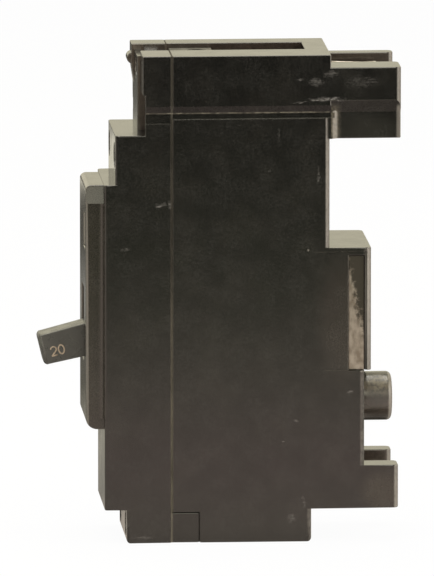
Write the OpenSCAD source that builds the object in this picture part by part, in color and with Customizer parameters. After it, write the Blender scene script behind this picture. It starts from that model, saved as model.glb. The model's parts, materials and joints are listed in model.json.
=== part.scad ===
// Single-pole ground-fault circuit breaker, one inch wide, in millimetres.
// Frame: +Z up (load end), -Y towards the handle, +Y towards the panel, +X is the near side.
// Modules are drawn from the parting face (Y = 0), the lower end (Z = 0) and mid-width (X = 0).
// The finished part is then set with its origin at the seat of the line bolt, on the boss's rear end.

/* [Case] */
// Width of the case body
case_w = 24; // [22:0.5:30]
// Height of the case, lower end to the top of the terminal block
case_h = 104; // [102:0.2:112]
// Wall of the cover and the base
wall = 1.8; // [1.4:0.1:2.2]
// Depth of the base behind the parting face, lower body
base_d = 40.8; // [39:0.2:46]
// Depth of the base behind the parting face, above the contact bulge
upper_d = 33.4; // [32:0.1:33.6]
// Depth of the base at its lower end, below the step
heel_d = 29.6; // [26:0.2:34]
// Height of the step under the rail foot
heel_h = 7; // [6.8:0.1:8.4]
// Radius of the rounded rear edges
edge_r = 1.2; // [0.6:0.1:1.6]
// Length of the cover tongue that laps onto the base
tongue_d = 5.8; // [4:0.2:8]
// Height of the cover tongue
tongue_h = 6.4; // [5:0.2:7]
// Gap between parts of the case that fit into one another
lap_gap = 0.1; // [0.1:0.05:0.3]
// Distance that the tongue's face lies below the side of the case
tongue_inset = 0.4; // [0.35:0.05:0.5]
// Radius of the lower front and lower rear corners of the case
corner_r = 0.9; // [0.4:0.1:1.4]
// Chamfer on the outer edges where cover and base meet
seam_chamfer = 0.3; // [0.1:0.05:0.3]

/* [Front cover] */
// Depth of the cover ahead of the parting face
cover_d = 14.2; // [13.4:0.1:16]
// Depth of the cover at its lower end
toe_d = 9.6; // [8.5:0.1:11]
// Height of the lower end of the cover
toe_h = 7.1; // [6.8:0.1:8]
// Depth of the upper ledge
ledge_d = 11.9; // [11:0.1:12.6]
// Distance of the upper ledge's foot below the top of the case
ledge_foot_drop = 27.4; // [26.8:0.1:27.5]
// Distance of the upper ledge's top below the top of the case
ledge_drop = 16.9; // [15.8:0.1:17.2]
// Radius of the front edges of the cover
front_r = 0.6; // [0.3:0.1:1]
// Width of the raised handle surround
surround_w = 20.5; // [19.6:0.1:21.5]
// Depth of the raised handle surround
surround_d = 3.9; // [3.4:0.1:4.4]
// Distance of the surround's upper end below the top of the case
surround_drop = 27.7; // [27.5:0.1:29.2]
// Length of the surround
surround_h = 52; // [50:0.2:54]
// Radius of the fillet at the foot of the surround's sides
surround_fillet = 1.5; // [0.8:0.1:1.7]
// Radius of the surround's lower front edge
surround_r = 2.4; // [1.5:0.1:3]
// Height of the slope at the upper end of the surround's sides
slope_h = 3.8; // [3:0.1:4.4]
// Distance that the surround's sides lean in over that slope
slope_in = 0.9; // [0.4:0.1:1.2]
// Wall of the surround
surround_wall = 1.6; // [1.3:0.1:1.8]

/* [Terminal block] */
// Width of the terminal block
block_w = 25.4; // [24.6:0.2:31]
// Height of the terminal block
block_h = 12.4; // [11.8:0.1:12.6]
// Depth of the block ahead of the parting face
block_front = 6.1; // [5.8:0.1:7]
// Depth of the block behind the parting face
block_d = 33.6; // [33.5:0.1:36.5]
// Height of the bevel on the block's lower edge
block_bevel = 1.7; // [1:0.1:2.2]
// Height of the groove under the block
groove_h = 1.1; // [0.8:0.1:1.5]
// Depth of the groove under the block
groove_d = 0.5; // [0.3:0.1:0.8]
// Width of the wiring channel
channel_w = 10.2; // [9.6:0.2:11]
// Depth of the wiring channel
channel_h = 8.4; // [8.1:0.1:8.6]
// Length of the wiring channel behind the parting face
channel_d = 28.7; // [24:0.5:30]
// Width of the rim on the near side of the channel
near_rim = 9.4; // [9:0.1:10]
// Distance that the wall across the channel's front stands ahead of the near rim
apron_proud = 0.6; // [0.3:0.1:0.8]
// Thickness of that wall
apron_t = 1.5; // [1.2:0.1:1.8]
// Distance of that wall's top below the top of the case
apron_drop = 1.2; // [0.8:0.1:1.4]
// Radius of the hole in that wall, through which the load screw is turned
access_r = 2.4; // [2:0.1:2.6]
// Distance that the far rim stands ahead of the near rim
far_rim_proud = 1.2; // [0.9:0.1:1.5]
// Height of the upright front of the far rim
far_rim_h = 4.5; // [4:0.1:5.5]
// Radius of the nub on the far rim
nub_r = 1.2; // [1:0.1:1.5]
// Distance of the nub below the top of the case
nub_drop = 3.2; // [2.8:0.1:3.4]
// Height of the terminal recess in the block's front
recess_h = 7.2; // [6.8:0.1:7.4]
// Depth of the terminal recess
recess_d = 1.2; // [0.8:0.1:1.6]
// Depth of the step in the block's front beside the recess
recess_step = 0.5; // [0.3:0.1:0.7]

/* [Rear mounting] */
// Length of the upper hook behind the terminal block
hook_d = 14.8; // [12:0.2:18]
// Distance of the hook's top below the top of the case
hook_drop = 2.7; // [2:0.1:3]
// Height of the hook
hook_h = 15.3; // [15:0.1:15.6]
// Wall of the hook on the near side
hook_near = 8.5; // [7:0.5:9]
// Wall of the hook on the far side
hook_far = 3.5; // [3:0.1:4]
// Distance that the lower half of the hook is set in
hook_inset = 1.5; // [0.8:0.1:2]
// Height of the hook's floor
hook_floor = 3.5; // [2.5:0.1:3.6]
// Distance of the contact bulge's top below the top of the case
bulge_drop = 41.2; // [40.6:0.1:41.6]
// Height of the contact bulge
bulge_h = 26.2; // [25.6:0.1:27]
// Depth of the bulge behind the lower body
bulge_d = 1.4; // [1.2:0.1:2.4]
// Distance that the bulge's near side is let in at its rear
bulge_sink = 0.45; // [0.2:0.05:0.6]
// Radius of the round bolt boss
boss_r = 5.2; // [4.6:0.1:5.8]
// Distance of the bolt boss below the contact bulge
boss_drop = 7.5; // [6:0.1:8]
// Length of the bolt boss
boss_len = 6.5; // [5:0.1:8]
// Radius of the boss's rounded end
boss_round = 1.1; // [0.6:0.1:1.4]
// Radius of the bore in the bolt boss
bolt_r = 2.75; // [2.5:0.05:3]
// Length of the rail foot
foot_d = 7.2; // [6:0.2:10]
// Height of the rail foot
foot_h = 9.2; // [8:0.2:10]
// Thickness of the near lug of the foot
near_lug = 6; // [5:0.2:7]
// Thickness of the far lug of the foot
far_lug = 4.8; // [4:0.2:6]

/* [Handle] */
// Width of the handle
handle_w = 6.8; // [6:0.2:7]
// Thickness of the handle at its tip
handle_t = 6.4; // [5.6:0.1:7]
// Length of the handle from its pivot
handle_len = 24.9; // [22:0.1:28]
// Swing of the handle from off to on
handle_throw = 27; // [24:1:30]
// Distance of the handle pivot ahead of the parting face
pivot_d = 3; // [2.6:0.1:3.4]
// Distance of the handle pivot below the top of the case
pivot_drop = 58.1; // [57.4:0.1:58.8]
// Radius of the handle hub
hub_r = 5; // [4.5:0.1:5.2]
// Outer radius of the shield that closes the handle slot
shield_r = 12.8; // [12.4:0.1:13]
// Thickness of the shield
shield_t = 1.5; // [1.2:0.1:1.8]
// Half angle of the shield
shield_angle = 50; // [46:1:52]

/* [Mechanism] */
// Radius of the pivot pins
pin_r = 1.5; // [1.3:0.05:1.6]
// Running clearance of a pivot
run_gap = 0.05; // [0.03:0.01:0.08]
// Side and seating clearance between pieces
seat_gap = 0.25; // [0.2:0.05:0.3]
// Near face of the mechanism space, where the mid barrier stands
barrier_x = 4; // [3.9:0.1:4.2]
// Thickness of the mid barrier
barrier_t = 1.2; // [1:0.1:1.3]
// Length of the pivot bosses on the far wall
pivot_boss = 2.8; // [2.4:0.1:3]
// Thickness of the contact arm
arm_t = 3; // [2.4:0.1:3.2]
// Swing of the contact arm from open to closed
arm_throw = 20; // [18:1:22]
// Depth of the arm pivot behind the handle pivot
arm_dy = 16; // [15.8:0.1:16.4]
// Height of the arm pivot above the handle pivot
arm_dz = 11.1; // [10.8:0.1:11.4]
// Thickness of the cradle
cradle_t = 1.5; // [1.2:0.1:1.6]
// Depth of the cradle pivot behind the arm pivot
cradle_dy = 14; // [13:0.2:14.6]
// Height of the cradle pivot above the arm pivot
cradle_dz = 9; // [8.8:0.1:9.4]
// Side of the square contact tips
contact_s = 5; // [4:0.2:5.4]
// Thickness of the contact tips
contact_t = 1.2; // [0.8:0.1:1.4]
// Distance of the fixed contact below the arm pivot
contact_drop = 16.5; // [16:0.1:17]
// Thickness of the line strap
strap_t = 1.5; // [1.2:0.1:1.8]
// Number of arc plates
plate_count = 6; // [4:1:7]
// Thickness of an arc plate
plate_t = 1; // [0.8:0.1:1.2]
// Distance from one arc plate to the next
plate_pitch = 2.2; // [2:0.1:2.3]
// Distance of the arc plates' top below the fixed contact
plate_drop = 5.1; // [4.6:0.1:7]
// Number of turns of the toggle spring
toggle_turns = 8; // [6:1:9]
// Wire of the toggle spring
toggle_wire = 0.7; // [0.5:0.05:0.8]
// Mean radius of the toggle spring
toggle_r = 1.05; // [0.9:0.05:1.1]

/* [Trip unit] */
// Thickness of the armature
armature_t = 1; // [0.8:0.1:1.2]
// Swing of the armature
armature_throw = 10; // [8:1:10]
// Width of the yoke
yoke_w = 6.3; // [6:0.1:6.3]
// Thickness of the yoke's plate
yoke_t = 1; // [0.8:0.1:1.1]
// Thickness of the bimetal
bimetal_t = 1; // [0.7:0.1:1.1]
// Radius of the leads through the transformer
lead_r = 1.1; // [0.8:0.1:1.2]
// Outer radius of the transformer
ring_r = 8; // [7.4:0.1:8]
// Radius of the hole in the transformer
ring_hole_r = 4.6; // [4.4:0.1:4.8]
// Length of the transformer
ring_len = 8; // [7:0.2:8.4]

/* [Solenoid and board] */
// Radius of the solenoid plunger
plunger_r = 1.8; // [1.5:0.1:2]
// Stroke of the plunger
plunger_stroke = 3; // [2.4:0.1:3]
// Radius of the solenoid coil
coil_r = 3.9; // [3.5:0.1:4]
// Length of the solenoid bobbin
bobbin_h = 16.8; // [14:0.2:17.6]
// Plate of the solenoid frame
frame_t = 1.5; // [1.2:0.1:1.6]
// Number of turns of the plunger spring
return_turns = 4; // [3:1:4]
// Wire of the plunger spring
return_wire = 0.45; // [0.35:0.05:0.5]
// Thickness of the circuit board
board_t = 1.6; // [1.2:0.1:1.8]
// Width of the test button
button_w = 5; // [4.2:0.2:5]
// Height of the test button
button_h = 7; // [5:0.2:8]
// Travel of the test button
button_travel = 1.5; // [1:0.1:1.5]

/* [Terminals and screws] */
// Width of the load lug
lug_w = 8.8; // [7.6:0.2:9]
// Depth of the load lug
lug_d = 9; // [8:0.2:11]
// Height of the load lug
lug_h = 6.3; // [5.8:0.1:6.4]
// Radius of the wire hole in the load lug
wire_r = 2.3; // [1.8:0.1:2.5]
// Radius of the load screw
load_screw_r = 2; // [1.7:0.1:2.2]
// Radius of the neutral screw
neutral_screw_r = 1.6; // [1.4:0.1:1.8]
// Radius of the case screws
case_screw_r = 1.45; // [1.2:0.05:1.6]
// Radius of the heads of the case screws
case_head_r = 2.6; // [2.4:0.1:2.8]

/* [Hidden] */
$fn = 48;
half = case_w / 2;
in_x = half - wall;
block_half = block_w / 2;
block_z = case_h - block_h;
roof_z = block_z - 3.5;
channel_z = case_h - channel_h;
channel_x1 = block_half - near_rim;
channel_x0 = channel_x1 - channel_w;
channel_x = (channel_x0 + channel_x1) / 2;
front_y = -cover_d;
ledge_z = case_h - ledge_foot_drop;
ledge_top = case_h - ledge_drop;
surround_y = -cover_d - surround_d;
surround_top = case_h - surround_drop;
surround_z = surround_top - surround_h;
hook_z = case_h - hook_drop - hook_h;
bulge_top = case_h - bulge_drop;
bulge_z = bulge_top - bulge_h;
boss_z = bulge_z - boss_drop;
bulge_y = base_d + bulge_d;
strap_y = base_d - wall - strap_t;
leaf_x = half - 0.8;
leaf_t = 1.2;
leaf_gap = 0.2;

pivot_z = case_h - pivot_drop;
handle_tilt = handle_throw / 2;
handle_y = -pivot_d;
arm_y = handle_y + arm_dy;
arm_z = pivot_z + arm_dz;
cradle_y = arm_y + cradle_dy;
cradle_z = arm_z + cradle_dz;
contact_z = arm_z - contact_drop;
arm_x = -3.1;
arm_hub_r = pin_r + 1.5;
cradle_x1 = arm_x - arm_t / 2 - 0.5;
cradle_x0 = cradle_x1 - cradle_t;
hub_x0 = -in_x + pivot_boss + seat_gap;
hub_x1 = barrier_x - 0.4;
pin_x0 = -in_x + seat_gap;
pin_x1 = barrier_x + barrier_t;
boss_wall_r = pin_r + 1.7;

drive_len = norm([arm_dy, arm_dz]);
drive_angle = atan2(arm_dz, arm_dy);
tail_len = drive_len / (1 + arm_throw / handle_throw);
drive_pin_r = 1.2;

armature_y = 2.4;
hinge_y = armature_y + armature_t / 2;
hinge_z = cradle_z + 9.5;
hinge_r = 1;
yoke_x = (cradle_x0 + cradle_x1) / 2;
latch_z = cradle_z - 1;
tail_z = latch_z - 5;
pole_y = armature_y - 2.6;
yoke_y = armature_y - 6.6;
bimetal_y = armature_y - 4.4;
bimetal_top = hinge_z + 3.2;
ring_z = roof_z - 1 - ring_r;
ring_y = 9;
hot_x = -2;
neutral_x = 2;

coil_x = -in_x + 4.6;
coil_y = 6.5;
pedestal_z = heel_h + 0.4;
bobbin_z = pedestal_z + frame_t;
frame_top = bobbin_z + bobbin_h + frame_t;
collar_z = frame_top + plunger_stroke + 2;
rod_x = -in_x + 1.8;
rod_r = 0.7;
rod_top = tail_z + armature_t + plunger_stroke - 0.3;
return_r = plunger_r + 0.8;

board_x = in_x - 0.2 - board_t;
board_y0 = -9.8;
board_y1 = upper_d - wall - 2;
board_z0 = 17;
board_z1 = cradle_z;
chip_y = 6;
chip_z = board_z0 + 23;
capacitor_y = 16;
capacitor_z = board_z0 + 13;
varistor_y = 18;
varistor_z = board_z0 + 29;
varistor_r = 4.2;
resistor_r = 0.95;
resistor_z = board_z0 + 5;
button_x = barrier_x + 1.6;
button_z = surround_top - 10;
blade_y = -11.2;
blade_z = pivot_z;

screw_x = in_x - 1.8;
lower_screw_z = toe_h / 2 + 0.3;
upper_screw_z = ledge_top - 4.5;
pillar_r = case_screw_r + 1.5;
head_h = 2.2;
apron_y = -block_front - apron_proud;
recess_z = roof_z + 0.3;
neutral_half = 3.6;
neutral_screw_x = channel_x1 + neutral_half + 0.3;
neutral_z = recess_z + recess_h / 2;
load_head_r = 3;
neutral_head_r = 2.5;
slot_x = (hook_far - hook_near) / 2;
clip_z = hook_z + hook_floor + 0.5;
clip_tail_x = neutral_x - 4;
load_z = channel_z + 1.2;

// A solid whose side view, drawn as (y, z), is carried from x0 to x1
module across(x0, x1)
  translate([x0, 0, 0]) rotate([90, 0, 90]) linear_extrude(x1 - x0) children();

// A box from its lowest to its highest corner
module box(p, q)
  translate(p) cube(q - p);

// A round bar along X, at (y, z), from x0 to x1
module bar_x(y, z, r, x0, x1)
  translate([x0, y, z]) rotate([0, 90, 0]) cylinder(r = r, h = x1 - x0);

// A round bar along Y, at (x, z), from y0 to y1
module bar_y(x, z, r, y0, y1)
  translate([x, y0, z]) rotate([-90, 0, 0]) cylinder(r = r, h = y1 - y0);

// A round bar along Z, at (x, y), from z0 to z1
module bar_z(x, y, r, z0, z1)
  translate([x, y, z0]) cylinder(r = r, h = z1 - z0);

// Plan of a block whose two corners at the y1 end are rounded
module round_plan(x0, x1, y0, y1, r) {
  s = y1 > y0 ? 1 : -1;
  translate([x0, min(y0, y1 - s * r)]) square([x1 - x0, abs(y1 - y0) - r]);
  translate([x0 + r, min(y0, y1)]) square([x1 - x0 - 2 * r, abs(y1 - y0)]);
  for (x = [x0 + r, x1 - r]) translate([x, y1 - s * r]) circle(r);
}

module round_block(x0, x1, y0, y1, z0, z1, r)
  translate([0, 0, z0]) linear_extrude(z1 - z0) round_plan(x0, x1, y0, y1, r);

// A straight bar in a side view, from p to q, with its own width at each end
module taper(p, q, wp, wq) {
  d = (q - p) / norm(q - p);
  n = [-d[1], d[0]];
  polygon([p + n * wp / 2, p - n * wp / 2, q - n * wq / 2, q + n * wq / 2]);
}

// Turn about an axis along X through (y, z)
module turned(y, z, angle)
  translate([0, y, z]) rotate([angle, 0, 0]) translate([0, -y, -z]) children();

// A polyline with its corners rounded: each corner gives way to a curve of n steps
function eased(pts, r, n) = [
  for (i = [0 : len(pts) - 1])
    if (i == 0 || i == len(pts) - 1) pts[i]
    else let (
      a = pts[i] + r * unit(pts[i - 1] - pts[i]),
      b = pts[i] + r * unit(pts[i + 1] - pts[i])
    ) for (k = [0 : n]) let (t = k / n)
      (1 - t) * (1 - t) * a + 2 * t * (1 - t) * pts[i] + t * t * b
];
function unit(v) = v / norm(v);
function heading(p, i) = unit(p[min(i + 1, len(p) - 1)] - p[max(i - 1, 0)]);
function square_to(v, t) = unit(v - t * (v * t));

// Normals along a path, each the last one made square to the new heading
function normals(p, first) = [
  for (i = 0, n = square_to(first, heading(p, 0)); i < len(p);
       i = i + 1, n = i < len(p) ? square_to(n, heading(p, i)) : n) n
];

// A round tube along a path, made of triangles and closed at both ends
module tube(p, r, sides, first) {
  n = normals(p, first);
  count = len(p);
  rings = [
    for (i = [0 : count - 1]) let (m = cross(heading(p, i), n[i]))
      for (k = [0 : sides - 1]) p[i] + r * (cos(k * 360 / sides) * n[i] + sin(k * 360 / sides) * m)
  ];
  walls = [
    for (i = [0 : count - 2], k = [0 : sides - 1])
      let (a = i * sides + k, b = i * sides + (k + 1) % sides)
        each [[a, a + sides, b], [b, a + sides, b + sides]]
  ];
  caps = [
    for (k = [1 : sides - 2]) each [[0, k, k + 1],
      [(count - 1) * sides, (count - 1) * sides + k + 1, (count - 1) * sides + k]]
  ];
  polyhedron(rings, concat(walls, caps));
}

// Points of a helix about Z, from z0 to z1, eight rings a turn
function helix(r, turns, z0, z1) = [
  for (i = [0 : 8 * turns]) [r * cos(45 * i), r * sin(45 * i), z0 + (z1 - z0) * i / (8 * turns)]
];

// Least distance between two parts of a wire that are half a turn or more apart
function self_gap(p, wire) =
  min([for (i = [0 : len(p) - 5], j = [i + 5 : len(p) - 1]) norm(p[i] - p[j])]) - wire;

// Set the part with its origin at the seat of the line bolt
module seated()
  translate([0, -base_d - boss_len, -boss_z]) children();

module pillar(x, z, y0, y1)
  bar_y(x, z, pillar_r, y0, y1);

// Cutter that rounds the lower corner at y of the case's side view; s points into the case
module lower_corner(y, s)
  difference() {
    box([-half - 1, s > 0 ? y - 1 : y - corner_r, -1], [half + 1, s > 0 ? y + corner_r : y + 1, corner_r]);
    bar_x(y + s * corner_r, corner_r, corner_r, -half - 2, half + 2);
  }

// Cutter for the chamfers along the outer parting edges of the case
module seam()
  for (s = [-1, 1]) {
    translate([s * half, 0, -1]) linear_extrude(block_z + 1)
      rotate(45) square(seam_chamfer * sqrt(2), center = true);
    translate([s * block_half, 0, block_z]) linear_extrude(case_h - block_z + 1)
      rotate(45) square(seam_chamfer * sqrt(2), center = true);
  }

// Case

module base_outline() {
  round_block(-half, half, 0, heel_d, 0, heel_h + edge_r, edge_r);
  round_block(-half, half, 0, base_d, heel_h, bulge_z + edge_r, edge_r);
  round_block(-half, half, 0, bulge_y, bulge_z, bulge_top, edge_r);
  round_block(-half, half, 0, upper_d, bulge_top - edge_r, block_z + edge_r, edge_r);
}

// Cross-section of the terminal block, with the bevel along its lower edges
module block_section()
  polygon([
    [-block_half, case_h], [block_half, case_h], [block_half, block_z + block_bevel],
    [half + 0.1, block_z], [-half - 0.1, block_z], [-block_half, block_z + block_bevel]
  ]);

module block_run(y0, y1)
  translate([0, y1, 0]) rotate([90, 0, 0]) linear_extrude(y1 - y0) block_section();

// One wall of the hook: full width above, set in below a bevel, with rounded rear edges
module hook_wall(x_out, x_in) {
  s = sign(x_out);
  z1 = hook_z + hook_h;
  bevel_z = hook_z + hook_h * 0.37;
  intersection() {
    round_block(min(x_out, x_in), max(x_out, x_in), block_d - 1, block_d + hook_d, hook_z, z1, edge_r);
    translate([0, block_d + hook_d, 0]) rotate([90, 0, 0]) linear_extrude(hook_d + 1)
      polygon([[x_in, hook_z], [x_out - s * hook_inset, hook_z], [x_out - s * hook_inset, bevel_z],
        [x_out, bevel_z + 2.6], [x_out, z1], [x_in, z1]]);
  }
}

// Concave fillet where the set-in half of the hook meets the body
module hook_fillet(s) {
  r = hook_inset + 0.4;
  x = block_half - hook_inset;
  difference() {
    box([s > 0 ? x - 0.5 : -half, block_d - 0.5, hook_z], [s > 0 ? half : -x + 0.5, block_d + r, hook_z + 6]);
    bar_z(s * (x + r), block_d + r, r, hook_z - 1, hook_z + 7);
  }
}

module rail_foot() {
  z0 = heel_h;
  round_block(half - near_lug, half, base_d - 2, base_d + foot_d, z0, z0 + foot_h, edge_r);
  round_block(-half, -half + far_lug, base_d - 2, base_d + foot_d, z0, z0 + foot_h, edge_r);
}

module base_cavity() {
  box([-in_x, -1, wall], [in_x, heel_d - wall, heel_h + wall + 1]);
  box([-in_x, -1, heel_h + wall], [in_x, base_d - wall, bulge_top - wall]);
  box([-in_x, base_d - wall - 1, bulge_z + wall], [in_x, bulge_y - 1.4, bulge_top - wall]);
  box([-in_x, -1, bulge_top - wall - 1], [in_x, upper_d - wall, roof_z]);
}

// Window in the near wall of the bulge, through which the line strap shows
module strap_window()
  box([in_x - 1, strap_y - lap_gap, bulge_z - lap_gap], [half + 1, base_d, bulge_top - wall]);

// Cutter that lets the bulge's near side in towards its rear edge
module bulge_side()
  translate([0, 0, bulge_z]) linear_extrude(bulge_h - wall / 2)
    polygon([[half + 1, upper_d - 5], [half, upper_d - 5],
      [half - bulge_sink, bulge_y - wall / 2], [half + 1, bulge_y - wall / 2]]);

// Round boss for the line bolt, with a rounded end
module bolt_boss()
  translate([0, base_d - 1, boss_z]) rotate([-90, 0, 0]) rotate_extrude() {
    square([boss_r, boss_len + 1 - boss_round]);
    square([boss_r - boss_round, boss_len + 1]);
    translate([boss_r - boss_round, boss_len + 1 - boss_round]) circle(boss_round);
  }

module arc_vents()
  for (y = [13, 17.5, 22])
    box([-in_x + 2.6, y, -1], [-in_x + 12.6, y + 1.8, wall + 1]);

module rear_base() color("#2b2a2a") {
  difference() {
    union() {
      difference() {
        union() {
          base_outline();
          block_run(0, block_d);
        }
        base_cavity();
      }
      hook_wall(block_half, block_half - hook_near);
      hook_wall(-block_half, -block_half + hook_far);
      box([-block_half + hook_far - 1, block_d - 1, hook_z],
        [block_half - hook_near + 1, block_d + hook_d - 3, hook_z + hook_floor]);
      hook_fillet(1);
      hook_fillet(-1);
      rail_foot();
      bolt_boss();
      // pivot bosses, screw pillars and seats inside
      bar_x(arm_y, arm_z, boss_wall_r, -in_x - 0.5, -in_x + pivot_boss);
      bar_x(cradle_y, cradle_z, boss_wall_r, -in_x - 0.5, -in_x + pivot_boss);
      for (s = [-1, 1]) {
        pillar(s * screw_x, lower_screw_z, 0, 14);
        pillar(s * screw_x, upper_screw_z, 0, ring_y - 1);
        box([s > 0 ? ring_r + 0.1 : -in_x - 0.5, ring_y + 0.5, ring_z - 2],
          [s > 0 ? in_x + 0.5 : -ring_r - 0.1, ring_y + ring_len - 0.5, ring_z + 2]);
      }
      box([-in_x - 0.5, coil_y - coil_r, wall - 0.5], [coil_x + coil_r + frame_t, coil_y + coil_r, pedestal_z]);
      box([-in_x - 0.5, armature_y - 2, hinge_z - 8], [yoke_x - yoke_w / 2, armature_y + 1.2, hinge_z - 1.5]);
    }
    // groove under the block, on both sides
    for (s = [-1, 1])
      box([s > 0 ? half - groove_d : -half - 1, -1, block_z - groove_h],
        [s > 0 ? half + 1 : -half + groove_d, upper_d + 1, block_z]);
    // laps of the cover's tongues
    for (s = [-1, 1])
      box([s > 0 ? half - 1 - lap_gap : -half - 1, -1, -1],
        [s > 0 ? half + 1 : -half + 1 + lap_gap, tongue_d + lap_gap, tongue_h + lap_gap]);
    seam();
    lower_corner(heel_d, -1);
    strap_window();
    bulge_side();
    arc_vents();
    bar_y(0, boss_z, bolt_r, base_d - wall - 1, base_d + boss_len + 1);
    bar_x(arm_y, arm_z, pin_r + run_gap, pin_x0 - seat_gap / 2, 0);
    bar_x(cradle_y, cradle_z, pin_r + run_gap, pin_x0 - seat_gap / 2, 0);
    for (s = [-1, 1]) {
      bar_y(s * screw_x, lower_screw_z, case_screw_r + run_gap, -1, 12.5);
      bar_y(s * screw_x, upper_screw_z, case_screw_r + run_gap, -1, ring_y - 2.4);
    }
    // wiring channel, with the way up for the hot lead
    box([channel_x0, -1, channel_z], [channel_x1, channel_d, case_h + 1]);
    bar_z(hot_x, ring_y + ring_len + 4, lead_r + seat_gap, roof_z - 1, channel_z + 1);
    // neutral terminal space, open to the cavity below
    box([neutral_screw_x - neutral_half, -1, recess_z], [neutral_screw_x + neutral_half, 8, recess_z + recess_h - 0.8]);
    box([neutral_screw_x - neutral_half, 3, roof_z - 1], [neutral_screw_x, 8, recess_z + 1]);
    // way out for the tail of the neutral clip
    box([clip_tail_x - 3, 22, roof_z - 1], [clip_tail_x + 3, upper_d - wall, roof_z + 5.5]);
    box([clip_tail_x - 2.3, upper_d - wall - 1, clip_z - seat_gap],
      [clip_tail_x + 2.3, block_d + 1, clip_z + 1.2 + seat_gap]);
  }
}

module surround_profile() {
  y0 = surround_y;
  y1 = front_y + 1;
  r = surround_r;
  r2 = 1.2;
  difference() {
    translate([y0, surround_z]) square([y1 - y0, surround_h]);
    translate([y0 - 1, surround_z - 1]) square([1 + r, 1 + r]);
    translate([y0 - 1, surround_top - r2]) square([1 + r2, 1 + r2]);
  }
  translate([y0 + r, surround_z + r]) circle(r);
  translate([y0 + r2, surround_top - r2]) circle(r2);
}

// Front view of the surround: its sides lean in at the upper end
module surround_front() {
  w = surround_w / 2;
  polygon([[-w, surround_z], [w, surround_z], [w, surround_top - slope_h], [w - slope_in, surround_top],
    [slope_in - w, surround_top], [-w, surround_top - slope_h]]);
}

module surround()
  intersection() {
    across(-surround_w / 2, surround_w / 2) surround_profile();
    translate([0, front_y + 2, 0]) rotate([90, 0, 0]) linear_extrude(surround_d + 3) surround_front();
    round_block(-surround_w / 2, surround_w / 2, front_y + 1, surround_y,
      surround_z - 1, surround_top + 1, front_r);
  }

// Concave fillet along the foot of one side of the surround
module surround_foot(s) {
  r = surround_fillet;
  x = surround_w / 2;
  difference() {
    box([s > 0 ? x - 0.3 : -x - r, front_y - r, surround_z + surround_r],
      [s > 0 ? x + r : -x + 0.3, front_y + 0.5, surround_top - slope_h]);
    bar_z(s * (x + r), front_y - r, r, surround_z, surround_top);
  }
}

// Far rim of the wiring channel: its front leans out to an upright band
module far_rim()
  across(-block_half, channel_x0)
    polygon([[0, channel_z], [apron_y, channel_z], [-block_front - far_rim_proud, case_h - far_rim_h],
      [-block_front - far_rim_proud, case_h], [0, case_h]]);

// Wall across the channel's front, down to the ledge
module apron()
  intersection() {
    union() {
      block_run(apron_y, 0);
      box([-half, apron_y, ledge_top - 1], [half, 0, block_z + 1]);
    }
    box([-block_half, apron_y, ledge_top - 1], [channel_x1, 0, case_h - apron_drop]);
  }

module cover_outline() {
  round_block(-half, half, 0, -toe_d, 0, toe_h + 1, front_r);
  round_block(-half, half, 0, front_y, toe_h, ledge_z, front_r);
  round_block(-half, half, 0, -ledge_d, ledge_z - 1, ledge_top, front_r);
  box([-half, -block_front + recess_step, ledge_top - 1], [half, 0, block_z + 1]);
  block_run(-block_front, 0);
  apron();
  far_rim();
  bar_x(-block_front - far_rim_proud + nub_r / 4, case_h - nub_drop, nub_r, -block_half + 0.8, channel_x0 - 0.8);
  surround();
  surround_foot(1);
  surround_foot(-1);
  for (s = [-1, 1])
    box([s > 0 ? half - 1 : tongue_inset - half, -1, 0],
      [s > 0 ? half - tongue_inset : -half + 1, tongue_d, tongue_h]);
}

module cover_cavity() {
  box([-in_x, -toe_d + wall, wall], [in_x, 1, toe_h + wall + 1]);
  box([-in_x, front_y + wall, toe_h + wall], [in_x, 1, ledge_z - wall]);
  box([-in_x, -ledge_d + wall, ledge_z - wall - 1], [in_x, 1, ledge_top - wall]);
  w = surround_w / 2 - surround_wall;
  box([-w, surround_y + surround_wall, surround_z + surround_wall],
    [w, front_y + wall + 1, surround_top - surround_wall]);
}

// Half height of the handle slot: the lever's reach at the slot, with room to swing
function slot_half() =
  (-surround_y - pivot_d) * tan(handle_tilt) + (handle_t / 2 + 0.6) / cos(handle_tilt) + 0.2;

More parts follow.
